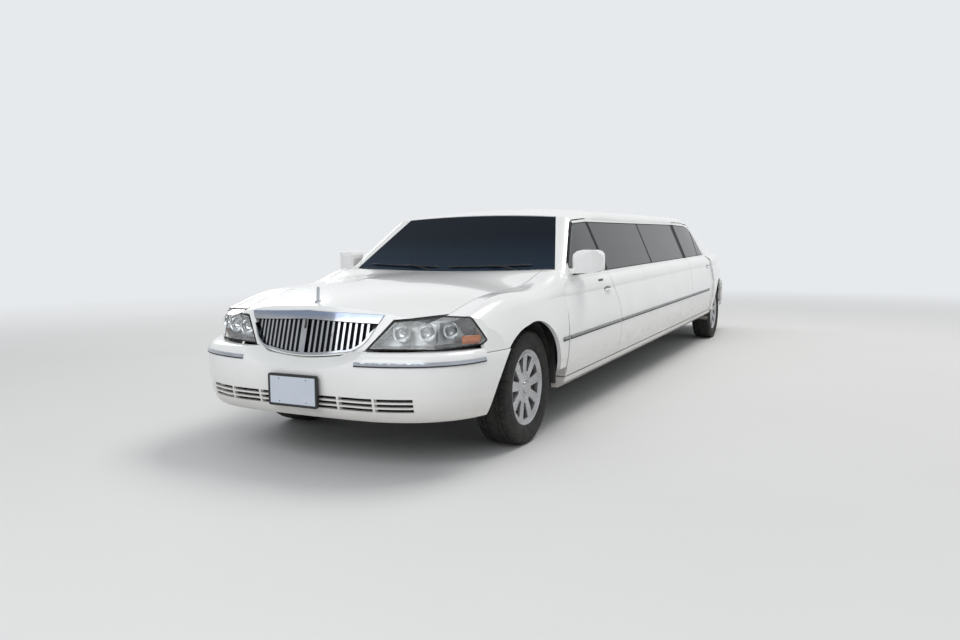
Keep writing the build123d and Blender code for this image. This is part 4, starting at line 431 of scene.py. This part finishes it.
NODE_MATERIALS = {"plate_holder": plate_plastic(), "bumper_strips": strip_chrome(),
                  "grille": grille_chrome(), "windscreen": screen_glass(),
                  "door_front_left": door_paint, "door_front_right": door_paint}
for node, obj in frame["nodes"].items():
    obj.data.materials.clear()
    obj.data.materials.append(NODE_MATERIALS.get(node) or MATERIALS[slot_of[node]])


# Helpers for added pieces

def in_scene(name, data):
    """A new object that shows the data, linked into the scene."""
    obj = bpy.data.objects.new(name, data)
    bpy.context.scene.collection.objects.link(obj)
    return obj


def piece(name, bm, body, slot, mat=None, smooth=True):
    """Makes a finished form a piece that rides on a body."""
    bmesh.ops.recalc_face_normals(bm, faces=bm.faces)
    mesh = bpy.data.meshes.new(name)
    bm.to_mesh(mesh)
    bm.free()
    obj = in_scene(name, mesh)
    mesh.materials.append(mat or MATERIALS[slot])
    for face in mesh.polygons:
        face.use_smooth = smooth
    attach(obj, body)
    return obj


def swept(name, rings, body, slot, mat=None, closed=False, smooth=True):
    """Skin through rings of equally many points; each ring is a closed outline."""
    bm = bmesh.new()
    made = [[bm.verts.new(p) for p in ring] for ring in rings]
    pairs = list(zip(made, made[1:])) + ([(made[-1], made[0])] if closed else [])
    for a, b in pairs:
        for i in range(len(a)):
            j = (i + 1) % len(a)
            bm.faces.new((a[i], a[j], b[j], b[i]))
    if not closed:
        bm.faces.new(list(reversed(made[0])))
        bm.faces.new(made[-1])
    return piece(name, bm, body, slot, mat, smooth)


def arc3(start, middle, end, count):
    """Points on the plane arc through three points, the last one left out."""
    (x1, y1), (x2, y2), (x3, y3) = start, middle, end
    d = 2 * (x1 * (y2 - y3) + x2 * (y3 - y1) + x3 * (y1 - y2))
    sq1, sq2, sq3 = x1 * x1 + y1 * y1, x2 * x2 + y2 * y2, x3 * x3 + y3 * y3
    cx = (sq1 * (y2 - y3) + sq2 * (y3 - y1) + sq3 * (y1 - y2)) / d
    cy = (sq1 * (x3 - x2) + sq2 * (x1 - x3) + sq3 * (x2 - x1)) / d
    radius = math.hypot(x1 - cx, y1 - cy)
    a1, a2, a3 = (math.atan2(y - cy, x - cx) for x, y in (start, middle, end))
    turn = (a3 - a1) % math.tau
    if (a2 - a1) % math.tau > turn:
        turn -= math.tau
    return [(cx + radius * math.cos(a1 + turn * i / count), cy + radius * math.sin(a1 + turn * i / count))
            for i in range(count)]


def tree_of(node):
    """Search tree of a CAD node's faces, in the row frame."""
    mesh = frame["nodes"][node].data
    return BVHTree.FromPolygons([v.co for v in mesh.vertices], [list(p.vertices) for p in mesh.polygons])


TREES = {node: tree_of(node) for node in ("door_front_left", "door_rear_left", "windscreen", "trunk_lid")}
# Where the searches start, clear of the body
BESIDE_BODY, OVER_ROOF, BEHIND_TAIL = 1600, 2500, -9000


def side_y(node, x, z):
    """How far out a node's side reaches at a place given in the body's frame, in millimetres."""
    start = body_point(x, 0, z)
    hit = TREES[node].ray_cast(Vector((start.x, BESIDE_BODY / 1000, start.z)), Vector((0, -1, 0)))[0]
    return hit.y * 1000 if hit else SIDE_Y


def top_z(node, x, y, fallback):
    """Height of a node's top at a place in plan, in the body's frame, in millimetres."""
    hit = TREES[node].ray_cast(body_point(x, y, OVER_ROOF), Vector((-SIN, 0, -COS)))[0]
    if not hit:
        return fallback
    low = hit - Vector((SHIFT, 0, 0))
    return (low.x * SIN + low.z * COS) * 1000


def tail_x(node, y, z, fallback):
    """Place of a node's rearmost face at a point of the rear view, in the body's frame."""
    start = body_point(BEHIND_TAIL, y, z)
    hit = TREES[node].ray_cast(start, Vector((COS, 0, -SIN)))[0]
    return (hit - start).length * 1000 + BEHIND_TAIL if hit else fallback


def tube(name, points, radii):
    """Round black bar on the body along points, with its own radius in millimetres at each."""
    corners = 10
    rings = []
    for i, point in enumerate(points):
        ahead = (points[min(i + 1, len(points) - 1)] - points[max(i - 1, 0)]).normalized()
        side = ahead.cross(Vector((0, 0, 1)) if abs(ahead.z) < 0.9 else Vector((1, 0, 0))).normalized()
        up = side.cross(ahead)
        rings.append([point + (side * math.cos(math.tau * k / corners)
                               + up * math.sin(math.tau * k / corners)) * radii[i] / 1000
                      for k in range(corners)])
    swept(name, rings, "body", "black_plastic")


# Side moulding: a grey strip with a black base under it, in lengths that end at the shut lines.
# It stands on the body's side at SIDE_Y and is let in by MOULD_IN; its ends thin to MOULD_END of
# its depth over the last MOULD_TAPER.
SIDE_Y = 985.0
MOULD_Z = 595.0
MOULD_IN = 3.0
MOULD_TAPER, MOULD_END = 10, 0.35
MOULDINGS = [("fender", "body", -378, -488), ("front_door", "{}_front_door", -502, -1656),
             ("panel", "body", -1672, -4391), ("rear_door", "{}_rear_door", -4407, -5367)]
mould_grey = surface("moulding_grey", (0.20, 0.205, 0.21), (0.26, 0.265, 0.27), 0.35, metal=0.3, grain=40,
                     bump_by=0.05)
mould_dark = surface("moulding_base", (0.010, 0.010, 0.010), (0.016, 0.016, 0.016), 0.6, grain=80)
# Part, lower and upper edge from MOULD_Z, how far it stands proud, material
MOULD_PARTS = [("base", -16.0, -7.0, 3.0, mould_dark), ("strip", -6.6, 12.0, 9.0, mould_grey)]
for side, way in SIDES:
    for label, body, x0, x1 in MOULDINGS:
        for part, low, high, proud, mat in MOULD_PARTS:
            outline = [(-MOULD_IN, low), (proud * 0.6, low + 0.5), (proud, low + 3),
                       (proud, high - 5), (proud * 0.6, high - 1), (-MOULD_IN, high)]
            rings = [[body_point(x, way * (SIDE_Y + out * thin), MOULD_Z + z) for out, z in outline]
                     for x, thin in ((x0, MOULD_END), (x0 - MOULD_TAPER, 1.0),
                                     (x1 + MOULD_TAPER, 1.0), (x1, MOULD_END))]
            swept(f"moulding_{part}_{label}_{side}", rings, body.format(side), "black_plastic", mat,
                  smooth=False)

# Tyres with their tread: shoulder blocks with cuts between them, two ribs with short slits
WHEELBASE, FRONT_WHEEL_Y, REAR_WHEEL_Y = 6038.0, 796.0, 815.0
TYRE_R = 345.0
TREAD_STEPS = 192
# Where the shoulders and the ribs lie on the section, and how deep they are cut
SHOULDER_Y, SHOULDER_R, SHOULDER_CUT = 64, 322, 6.5
RIB_Y, RIB_R, SLIT_CUT = (38, 60), 343, 3.5
# Half of the section, as (radius, distance from the wheel's middle plane)
HALF_TYRE = [(216, 40), (216, 83.2), (231, 83.8), (233.4, 95), (240, 103), (252, 108), (262, 109.6),
             (264, 111.2), (272, 112), (282, 112.6), (296, 112), (300, 110.4), (308, 109.8), (318, 107),
             (323, 105), (330, 102.5), (337, 98), (342.5, 84), (343.6, 66), (337, 65), (337, 59),
             (344.2, 58), (345, 40), (338, 37), (338, 31), (345, 28), (345, 8)]
tyre_section = HALF_TYRE + [(r, -y) for r, y in reversed(HALF_TYRE)]


def treaded_tyre(end, side, wheel_x, wheel_y):
    """Tyre that stands for the plain one of the CAD model; wheel_x and wheel_y are its middle."""
    rings = []
    for i in range(TREAD_STEPS):
        angle = math.tau * i / TREAD_STEPS
        ring = []
        for r, y in tyre_section:
            if abs(y) > SHOULDER_Y and r > SHOULDER_R and i % 4 == 0:
                r -= SHOULDER_CUT * min(1.0, (r - SHOULDER_R + 2) / 12)
            elif RIB_Y[0] < abs(y) < RIB_Y[1] and r > RIB_R and i % 4 == 2:
                r -= SLIT_CUT
            place = (wheel_x + r * math.cos(angle), wheel_y + y, TYRE_R + r * math.sin(angle))
            ring.append(Vector(place) / 1000 + Vector((SHIFT, 0, 0)))
        rings.append(ring)
    made = swept(f"treaded_tyre_{end}_{side}", rings, f"{side}_{end}_wheel", "tyre", closed=True,
                 smooth=False)
    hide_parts(f"tyre_{end}_{side}")


for end, wheel_x, wheel_y in (("front", 0.0, FRONT_WHEEL_Y), ("rear", -WHEELBASE, REAR_WHEEL_Y)):
    for side, way in SIDES:
        treaded_tyre(end, side, wheel_x, way * wheel_y)

# Grille's dark back and plain badge inset.  The nose is a slab that leans back by NOSE_LEAN for
# each millimetre up, curved in plan up to NOSE_HALF, where it lies NOSE_SAG back, and straight
# beyond, where it sweeps back by NOSE_SWEEP for each millimetre out.
NOSE_X, NOSE_Z, NOSE_LEAN = 973, 669, 0.29
NOSE_HALF, NOSE_SAG, NOSE_SWEEP = 372, 51, 107 / 350
NOSE_R = (NOSE_HALF ** 2 + NOSE_SAG ** 2) / (2 * NOSE_SAG)


def nose_x(y, z, proud):
    """Place that stands proud of the nose's face by so much, at a point of the front view."""
    y = abs(y)
    if y <= NOSE_HALF:
        face = NOSE_X - (NOSE_R - math.sqrt(NOSE_R ** 2 - y ** 2))
    else:
        face = NOSE_X - NOSE_SAG - (y - NOSE_HALF) * NOSE_SWEEP
    return face - (z - NOSE_Z) * NOSE_LEAN + proud


# Lower edge of the grille as (y, z).  Its upper edge is SCREEN_TOP high in the middle and falls by
# SCREEN_DROP at SCREEN_HALF; SCREEN_BACK are the places of the dark back's faces from the nose's.
GRILLE_LOW = [(0, 651), (120, 655), (230, 672), (310, 704), (372, 752), (418, 830)]
SCREEN_TOP, SCREEN_DROP, SCREEN_HALF = 852, 20, 446
SCREEN_STEP, SCREEN_STEPS, SCREEN_BACK = 18.5, 22, (-38, -41)
rings = []
for i in range(-SCREEN_STEPS, SCREEN_STEPS + 1):
    y = SCREEN_STEP * i
    for (y0, z0), (y1, z1) in zip(GRILLE_LOW, GRILLE_LOW[1:]):
        if y0 <= abs(y) <= y1:
            low = z0 + (z1 - z0) * (abs(y) - y0) / (y1 - y0)
    high = SCREEN_TOP - SCREEN_DROP * abs(y) / SCREEN_HALF
    rings.append([body_point(nose_x(y, z, back), y, z) for z, back in
                  ((low, SCREEN_BACK[0]), (high, SCREEN_BACK[0]), (high, SCREEN_BACK[1]),
                   (low, SCREEN_BACK[1]))])
swept("grille_screen", rings, "hood", "black_plastic", smooth=False)
badge_dark = surface("badge_inset", (0.012, 0.012, 0.014), (0.020, 0.020, 0.022), 0.25, grain=80,
                     bump_by=0.0)
# Badge inset: height and half width of each level, and how far its edge, face and back stand proud
BADGE = [(772, 5.0), (775, 8.0), (815, 8.5), (855, 8.0), (858, 5.0)]
BADGE_EDGE, BADGE_FACE, BADGE_BACK = 7.2, 8.6, 5
rings = [[body_point(nose_x(0, z, proud), y, z) for y, proud in
          ((-half, BADGE_EDGE), (-half * 0.8, BADGE_FACE), (half * 0.8, BADGE_FACE),
           (half, BADGE_EDGE), (half, BADGE_BACK), (-half, BADGE_BACK))]
         for z, half in BADGE]
swept("badge_inset", rings, "hood", "black_plastic", badge_dark)

# Lamps' insides: reflector bowls with bulb shields, and the amber corner
bright = surface("reflector", (0.62, 0.63, 0.64), (0.72, 0.73, 0.74), 0.10, metal=1.0, grain=20,
                 bump_by=0.03, rough_spread=0.04)
bulb = surface("bulb_shield", (0.30, 0.31, 0.32), (0.40, 0.41, 0.42), 0.22, metal=0.9, grain=50,
               bump_by=0.02)
amber = surface("amber_lens", (0.78, 0.17, 0.02), (0.88, 0.24, 0.03), 0.25, grain=60, coat=0.4)
# Sections as (radius, place) points, the place measured forward from the bowl's rim
BOWL = [(53, 0), (49, 0.5), (45, -14), (36, -29), (22, -39), (9, -43), (0.5, -43.5),
        (0.5, -47), (24, -43), (39, -32), (49, -14), (52.6, -3)]
DOME = [(0.5, -8), (8, -10), (13, -16), (15, -26), (10, -36), (0.5, -42)]
# Rim's centre and size of each bowl
LAMPS = [((822, 527, 752), 1.0), ((776, 656, 757), 1.0), ((722, 768, 764), 0.85)]
LAMP_STEPS = 48
# Amber piece: its reach in y along the nose's corner, and its section as (z, depth behind the face)
AMBER_Y = (832, 902)
AMBER_SECTION = [(691, 15), (734, 21), (734, 26), (691, 20)]
# The nose's corner in plan
corner_arc = arc3((815, 722), (720, 820), (600, 912), 40)


def turned(name, centre, outline, mat, way):
    """Solid of revolution in a lamp that faces forward, from (radius, place) points."""
    x0, y0, z0 = centre
    rings = []
    for i in range(LAMP_STEPS):
        angle = math.tau * i / LAMP_STEPS
        rings.append([body_point(x0 + x, way * (y0 + r * math.cos(angle)), z0 + r * math.sin(angle))
                      for r, x in outline])
    swept(name, rings, "body", "lamp_tub", mat, closed=True)


for side, way in SIDES:
    for count, (centre, scale) in enumerate(LAMPS):
        for part, outline, mat in (("reflector", BOWL, bright), ("shield", DOME, bulb)):
            turned(f"lamp_{part}_{count}_{side}", centre, [(r * scale, x * scale) for r, x in outline],
                   mat, way)
    rings = [[body_point(x - back, way * (y - back), z) for z, back in AMBER_SECTION]
             for x, y in corner_arc if AMBER_Y[0] <= y <= AMBER_Y[1]]
    swept(f"amber_corner_{side}", rings, "body", "lamp_tub", amber)

# Dark duct behind the front bumper's slots, along the bumper's plan
BUMPER_X = 1045.0
BUMPER_CORNER, BUMPER_BEND, BUMPER_FRONT = (BUMPER_X - 105, 702), (BUMPER_X - 40, 545), (BUMPER_X - 9, 360)
DUCT_NARROWED = 0.965
# Section as (z, depth behind the bumper's face)
DUCT_SECTION = [(356, 62), (442, 46), (442, 50), (356, 66)]


def mirrored(point):
    return point[0], -point[1]


plan = (arc3(mirrored(BUMPER_CORNER), mirrored(BUMPER_BEND), mirrored(BUMPER_FRONT), 10)
        + arc3(mirrored(BUMPER_FRONT), (BUMPER_X, 0), BUMPER_FRONT, 16)
        + arc3(BUMPER_FRONT, BUMPER_BEND, BUMPER_CORNER, 10))
# The last arc leaves its end out, so the first point goes too and both ends are alike
rings = [[body_point(x - back, y * DUCT_NARROWED, z) for z, back in DUCT_SECTION] for x, y in plan[1:]]
swept("bumper_duct", rings, "body", "black_plastic", smooth=False)

# Wipers: blades parked along the windscreen's foot, each with its arm.
# Side, y range of the blade, y of the arm's foot
WIPERS = [("right", -690, -70, -110), ("left", 10, 640, 580)]
SCREEN_FOOT_X, SCREEN_FOOT_BOW, SCREEN_FOOT_HALF, SCREEN_FOOT_Z = -606, 94, 802, 1020
# How far the blade lies behind the screen's foot and over the glass, and the arm's foot
BLADE_BACK, BLADE_LIFT, ARM_FOOT_X, ARM_FOOT_Z = 30, 9, -617, 1004
# How far the arm's middle rises, in metres, and the radii along blade and arm
ARM_HUMP, BLADE_RADII, ARM_RADII = 0.018, [3] + [6] * 13 + [3], [9, 7, 6, 5, 5, 4]
for name, y0, y1, foot_y in WIPERS:
    points = []
    for i in range(15):
        y = y0 + (y1 - y0) * i / 14
        x = SCREEN_FOOT_X - SCREEN_FOOT_BOW * (y / SCREEN_FOOT_HALF) ** 2 - BLADE_BACK
        points.append(body_point(x, y, top_z("windscreen", x, y, SCREEN_FOOT_Z) + BLADE_LIFT))
    tube(f"wiper_blade_{name}", points, BLADE_RADII)
    foot = body_point(ARM_FOOT_X, foot_y, ARM_FOOT_Z)
    arm = [foot + (points[7] - foot) * t + Vector((0, 0, ARM_HUMP * math.sin(math.pi * t)))
           for t in (0, 0.2, 0.4, 0.6, 0.8, 1)]
    tube(f"wiper_arm_{name}", arm, ARM_RADII)

# Door handles: a flat dish with a bar across it.  End of the car, x of the front end, height
HANDLES = [("front", -1322, 846), ("rear", -5312, 860)]
# The dish's grey is painted shade in the handle's recess
handle_dish_painted_shade = surface("handle_dish_painted_shade", (0.13, 0.13, 0.135), (0.20, 0.20, 0.205), 0.35, metal=0.3, grain=60,
                      bump_by=0.05)
# Part, length, half height, how far it stands proud, bluntness of its ends, slot, material
HANDLE_PARTS = [("recess", 160, 27, 2.0, 0.35, "black_plastic", handle_dish_painted_shade),
                ("bar", 146, 12, 22, 0.5, "body_paint", None)]
HANDLE_SPAN, HANDLE_IN = 160, 2
# Mirror glass: y range, height of its middle and half height.  The housing's rear face lies at
# MIRROR_X where y is MIRROR_ROOT, and slants forward from there.
MIRROR_Y, MIRROR_Z, MIRROR_TALL = (940, 1068), 1074, 55
MIRROR_X, MIRROR_ROOT, MIRROR_SLANT = -938.5, 930, 13 / 154
mirror_glass = surface("mirror_glass", (0.50, 0.52, 0.54), (0.55, 0.57, 0.59), 0.05, metal=1.0, grain=10,
                       bump_by=0.0, rough_spread=0.02)


def handle_rings(end, way, x0, z0, span, tall, out, blunt):
    """Sections of a handle part along a door, from its front end at x0 to its rear end."""
    rings = []
    for i in range(13):
        t = i / 12
        x = x0 - span * t - (HANDLE_SPAN - span) / 2
        swell = math.sin(math.pi * min(max(t, 0.03), 0.97)) ** blunt
        inner = side_y(f"door_{end}_left", x, z0) - HANDLE_IN
        ring = []
        for a in (math.tau * k / 12 for k in range(12)):
            y = inner + (out + HANDLE_IN) * swell * max(0.0, math.cos(a)) ** 0.8
            y -= HANDLE_IN * (math.cos(a) < 0)
            ring.append(body_point(x, way * y, z0 + tall * (0.35 + 0.65 * swell) * math.sin(a)))
        rings.append(ring)
    return rings


for side, way in SIDES:
    for end, x0, z0 in HANDLES:
        for part, span, tall, out, blunt, slot, mat in HANDLE_PARTS:
            swept(f"handle_{part}_{end}_{side}", handle_rings(end, way, x0, z0, span, tall, out, blunt),
                  f"{side}_{end}_door", slot, mat)
    rings = []
    for i in range(9):
        y = MIRROR_Y[0] + (MIRROR_Y[1] - MIRROR_Y[0]) * i / 8
        x = MIRROR_X + (y - MIRROR_ROOT) * MIRROR_SLANT
        tall = MIRROR_TALL * math.sqrt(max(0.08, 1 - ((i - 4) / 4.3) ** 4))
        rings.append([body_point(x + back, way * y, MIRROR_Z + z) for z, back in
                      ((-tall, -3), (tall, -3), (tall, 1), (-tall, 1))])
    swept(f"mirror_glass_{side}", rings, f"{side}_front_door", "alloy", mirror_glass, smooth=False)

# Plain keypad on the left front door: x and thinness of each section
PAD_Z, PAD_HALF, PAD_PROUD = 920, 12, 2.0
rings = []
for x, thin in ((-1228, 0.4), (-1232, 1.0), (-1322, 1.0), (-1326, 0.4)):
    y = side_y("door_front_left", x, PAD_Z)
    rings.append([body_point(x, y + out, PAD_Z + z * thin) for z, out in
                  ((-PAD_HALF, PAD_PROUD), (PAD_HALF, PAD_PROUD), (PAD_HALF, -PAD_PROUD),
                   (-PAD_HALF, -PAD_PROUD))])
swept("entry_pad", rings, "left_front_door", "black_plastic", smooth=False)

# Blank plate on the trunk lid: its half width, the lid's face where the search finds none, and the
# section as (z, how far it stands proud of the lid)
REAR_PLATE_HALF, LID_X = 152, -7440
REAR_PLATE_SECTION = [(704, 3.5), (856, 3.5), (856, -1), (704, -1)]
rings = []
for i in range(9):
    y = REAR_PLATE_HALF * (i / 4 - 1)
    rings.append([body_point(tail_x("trunk_lid", y, z, LID_X) - proud, y, z)
                  for z, proud in REAR_PLATE_SECTION])
swept("rear_plate", rings, "trunk", "black_plastic",
      surface("rear_plate", (0.52, 0.56, 0.63), (0.60, 0.63, 0.69), 0.4, grain=20, bump_by=0.02),
      smooth=False)


# Seats: how far a pad is crowned, and the places, depth and width of its sewn channels, as shares
# of the pad
CROWN = 0.035
SEAMS, SEAM_DEPTH, SEAM_WIDTH = (-0.5, 0.0, 0.5), 0.045, 0.030


def pads(name, forms, node):
    """One leather piece of crowned pads.  Each form: centre, half sizes, squareness, tilt about y."""
    bm = bmesh.new()
    for centre, half, square, tilt in forms:
        turn = Matrix.Rotation(tilt, 3, "Y")
        one = bmesh.new()
        bmesh.ops.create_cube(one, size=2.0)
        bmesh.ops.subdivide_edges(one, edges=one.edges[:], cuts=14, use_grid_fill=True)
        for vert in one.verts:
            p = vert.co.copy()
            p /= (abs(p.x) ** square + abs(p.y) ** square + abs(p.z) ** square) ** (1 / square)
            crown = 1 + CROWN * math.cos(p.x * 1.4) * math.cos(p.y * 1.4)
            seam = sum(SEAM_DEPTH * math.exp(-((p.y - c) / SEAM_WIDTH) ** 2) for c in SEAMS)
            p = Vector((p.x * half[0], p.y * half[1], p.z * half[2] * crown * (1 - seam)))
            vert.co = body_point(*(Vector(centre) + turn @ p))
        form = bpy.data.meshes.new("pad_form")
        one.to_mesh(form)
        one.free()
        bm.from_mesh(form)
        bpy.data.meshes.remove(form)
    obj = piece(name, bm, "body", "leather")
    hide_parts(node)


FRONT_SEAT_Y, REAR_SEAT_Y = (420, -420), (395, -395)
front_forms = []
for y in FRONT_SEAT_Y:
    front_forms += [((-1240, y, 528), (188, 240, 58), 4.5, math.radians(-5)),
                    ((-1330, y, 396), (250, 228, 84), 9, 0),
                    ((-1556, y, 810), (58, 236, 232), 4.5, math.radians(-14)),
                    ((-1634, y, 1098), (38, 128, 52), 3.5, math.radians(-14))]
pads("front_seat_pads", front_forms, "front_seats")
# The side bench: middle of its rearmost pad, and the step from pad to pad
BENCH_X, BENCH_STEP = -4430, 540
lounge_forms = []
for i in range(5):
    x = BENCH_X + BENCH_STEP * i
    lounge_forms += [((x, -532, 492), (264, 200, 56), 5, 0), ((x, -582, 370), (268, 238, 62), 10, 0),
                     ((x, -786, 725), (262, 50, 158), 5, 0)]
for y in REAR_SEAT_Y:
    lounge_forms += [((-5110, y, 494), (200, 228, 58), 5, 0), ((-5080, y, 370), (150, 228, 60), 10, 0),
                     ((-5432, y, 790), (46, 228, 222), 5, math.radians(-16))]
pads("lounge_seat_pads", lounge_forms, "lounge_seats")


# Floor, which blends into the backdrop's colour between two distances from the middle

def seen_rays(tree):
    """1 for camera, glossy and transmission rays, which see the pale backdrop."""
    path = tree.nodes.new("ShaderNodeLightPath")
    return either_of(tree, [path.outputs["Is Camera Ray"], path.outputs["Is Glossy Ray"],
                            path.outputs["Is Transmission Ray"]])


BACKDROP = (0.80, 0.82, 0.84)
FLOOR_DARK, FLOOR_LIGHT = (0.62, 0.62, 0.615), (0.65, 0.65, 0.645)
FLOOR_HALF = 60
BLEND_FROM, BLEND_TO = 5.2, 15.0
floor_mesh = bpy.data.meshes.new("floor")
floor_mesh.from_pydata([(-FLOOR_HALF, -FLOOR_HALF, 0), (FLOOR_HALF, -FLOOR_HALF, 0),
                        (FLOOR_HALF, FLOOR_HALF, 0), (-FLOOR_HALF, FLOOR_HALF, 0)], [], [(0, 1, 2, 3)])
floor = in_scene("floor", floor_mesh)
floor_mat, floor_tree, floor_shader, floor_at = nodes_of("floor")
link(floor_tree, mix_colour(floor_tree, noise(floor_tree, floor_at, 0.7), FLOOR_DARK, FLOOR_LIGHT),
     floor_shader.inputs["Base Color"])
floor_shader.inputs["Roughness"].default_value = 0.9
floor_shader.inputs["Specular IOR Level"].default_value = 0.1
glow = floor_tree.nodes.new("ShaderNodeEmission")
glow.inputs["Color"].default_value = (*BACKDROP, 1)
reach = floor_tree.nodes.new("ShaderNodeVectorMath")
reach.operation = "LENGTH"
link(floor_tree, floor_at, reach.inputs[0])
far_off = product(floor_tree, ramp(floor_tree, reach.outputs["Value"], BLEND_FROM, BLEND_TO),
                  seen_rays(floor_tree))
link(floor_tree, shown(floor_tree, floor_shader, far_off, glow).outputs[0],
     floor_tree.nodes["Material Output"].inputs["Surface"])
floor_mesh.materials.append(floor_mat)

# Camera, as fitted to the photograph: place in metres, turn in radians, focal length in pixels
CAMERA_PLACE = (4.29007 + SHIFT, 2.72099, 1.19315)
YAW, PITCH, ROLL = -2.67762037, -0.0939764, -0.00769516
FOCAL_PX, IMAGE_WIDTH, SENSOR_WIDTH = 782.034, 960, 36.0
camera_data = bpy.data.cameras.new("camera")
camera = in_scene("camera", camera_data)
forward = Vector((math.cos(PITCH) * math.cos(YAW), math.cos(PITCH) * math.sin(YAW), math.sin(PITCH)))
right = forward.cross(Vector((0, 0, 1))).normalized()
above = right.cross(forward)
right, above = (right * math.cos(ROLL) + above * math.sin(ROLL),
                above * math.cos(ROLL) - right * math.sin(ROLL))
turn = Matrix((right, above, -forward)).transposed()
camera.matrix_world = Matrix.Translation(CAMERA_PLACE) @ turn.to_4x4()
camera_data.sensor_width = SENSOR_WIDTH
camera_data.lens = FOCAL_PX / IMAGE_WIDTH * SENSOR_WIDTH
camera_data.clip_end = 300
bpy.context.scene.camera = camera

# Studio lights: name, place, aim, size, power and tint
LIGHTS = [("key", (-3.0, 3.4, 12.0), (0.3, 0, 0.5), (8, 5), 980, (1.0, 0.98, 0.95)),
          ("fill", (10.0, 1.0, 5.0), (1.0, 0, 0.7), (8, 4), 260, (0.96, 0.98, 1.0)),
          ("rear", (-5.0, -12.0, 6.5), (-2.0, 0, 0.7), (7, 4), 330, (1, 1, 1))]
for name, place, aim, size, power, tint in LIGHTS:
    light = bpy.data.lights.new(name, "AREA")
    light.shape = "RECTANGLE"
    light.size, light.size_y = size
    light.energy = power
    light.color = tint
    holder = in_scene(name, light)
    holder.location = place
    holder.rotation_mode = "QUATERNION"
    holder.rotation_quaternion = (Vector(aim) - Vector(place)).to_track_quat("-Z", "Y")

# World: an even light on the object, and for the rays that see it a backdrop that is darker overhead
AMBIENT_TINT, AMBIENT_STRENGTH = (0.94, 0.97, 1.0), 0.55
UPPER_SKY, SKY_RISE = (0.20, 0.22, 0.25), (0.34, 0.75)
world = bpy.data.worlds.new("studio")
bpy.context.scene.world = world
world.use_nodes = True
sky = world.node_tree
ambient = sky.nodes["Background"]
ambient.inputs["Color"].default_value = (*AMBIENT_TINT, 1)
ambient.inputs["Strength"].default_value = AMBIENT_STRENGTH
seen = sky.nodes.new("ShaderNodeBackground")
where = sky.nodes.new("ShaderNodeTexCoord")
height = sky.nodes.new("ShaderNodeSeparateXYZ")
link(sky, where.outputs["Generated"], height.inputs["Vector"])
link(sky, mix_colour(sky, ramp(sky, height.outputs["Z"], *SKY_RISE), BACKDROP, UPPER_SKY),
     seen.inputs["Color"])
seen.inputs["Strength"].default_value = 1.0
link(sky, shown(sky, ambient, seen_rays(sky), seen).outputs[0],
     sky.nodes["World Output"].inputs["Surface"])
bpy.context.scene.view_settings.view_transform = "Standard"
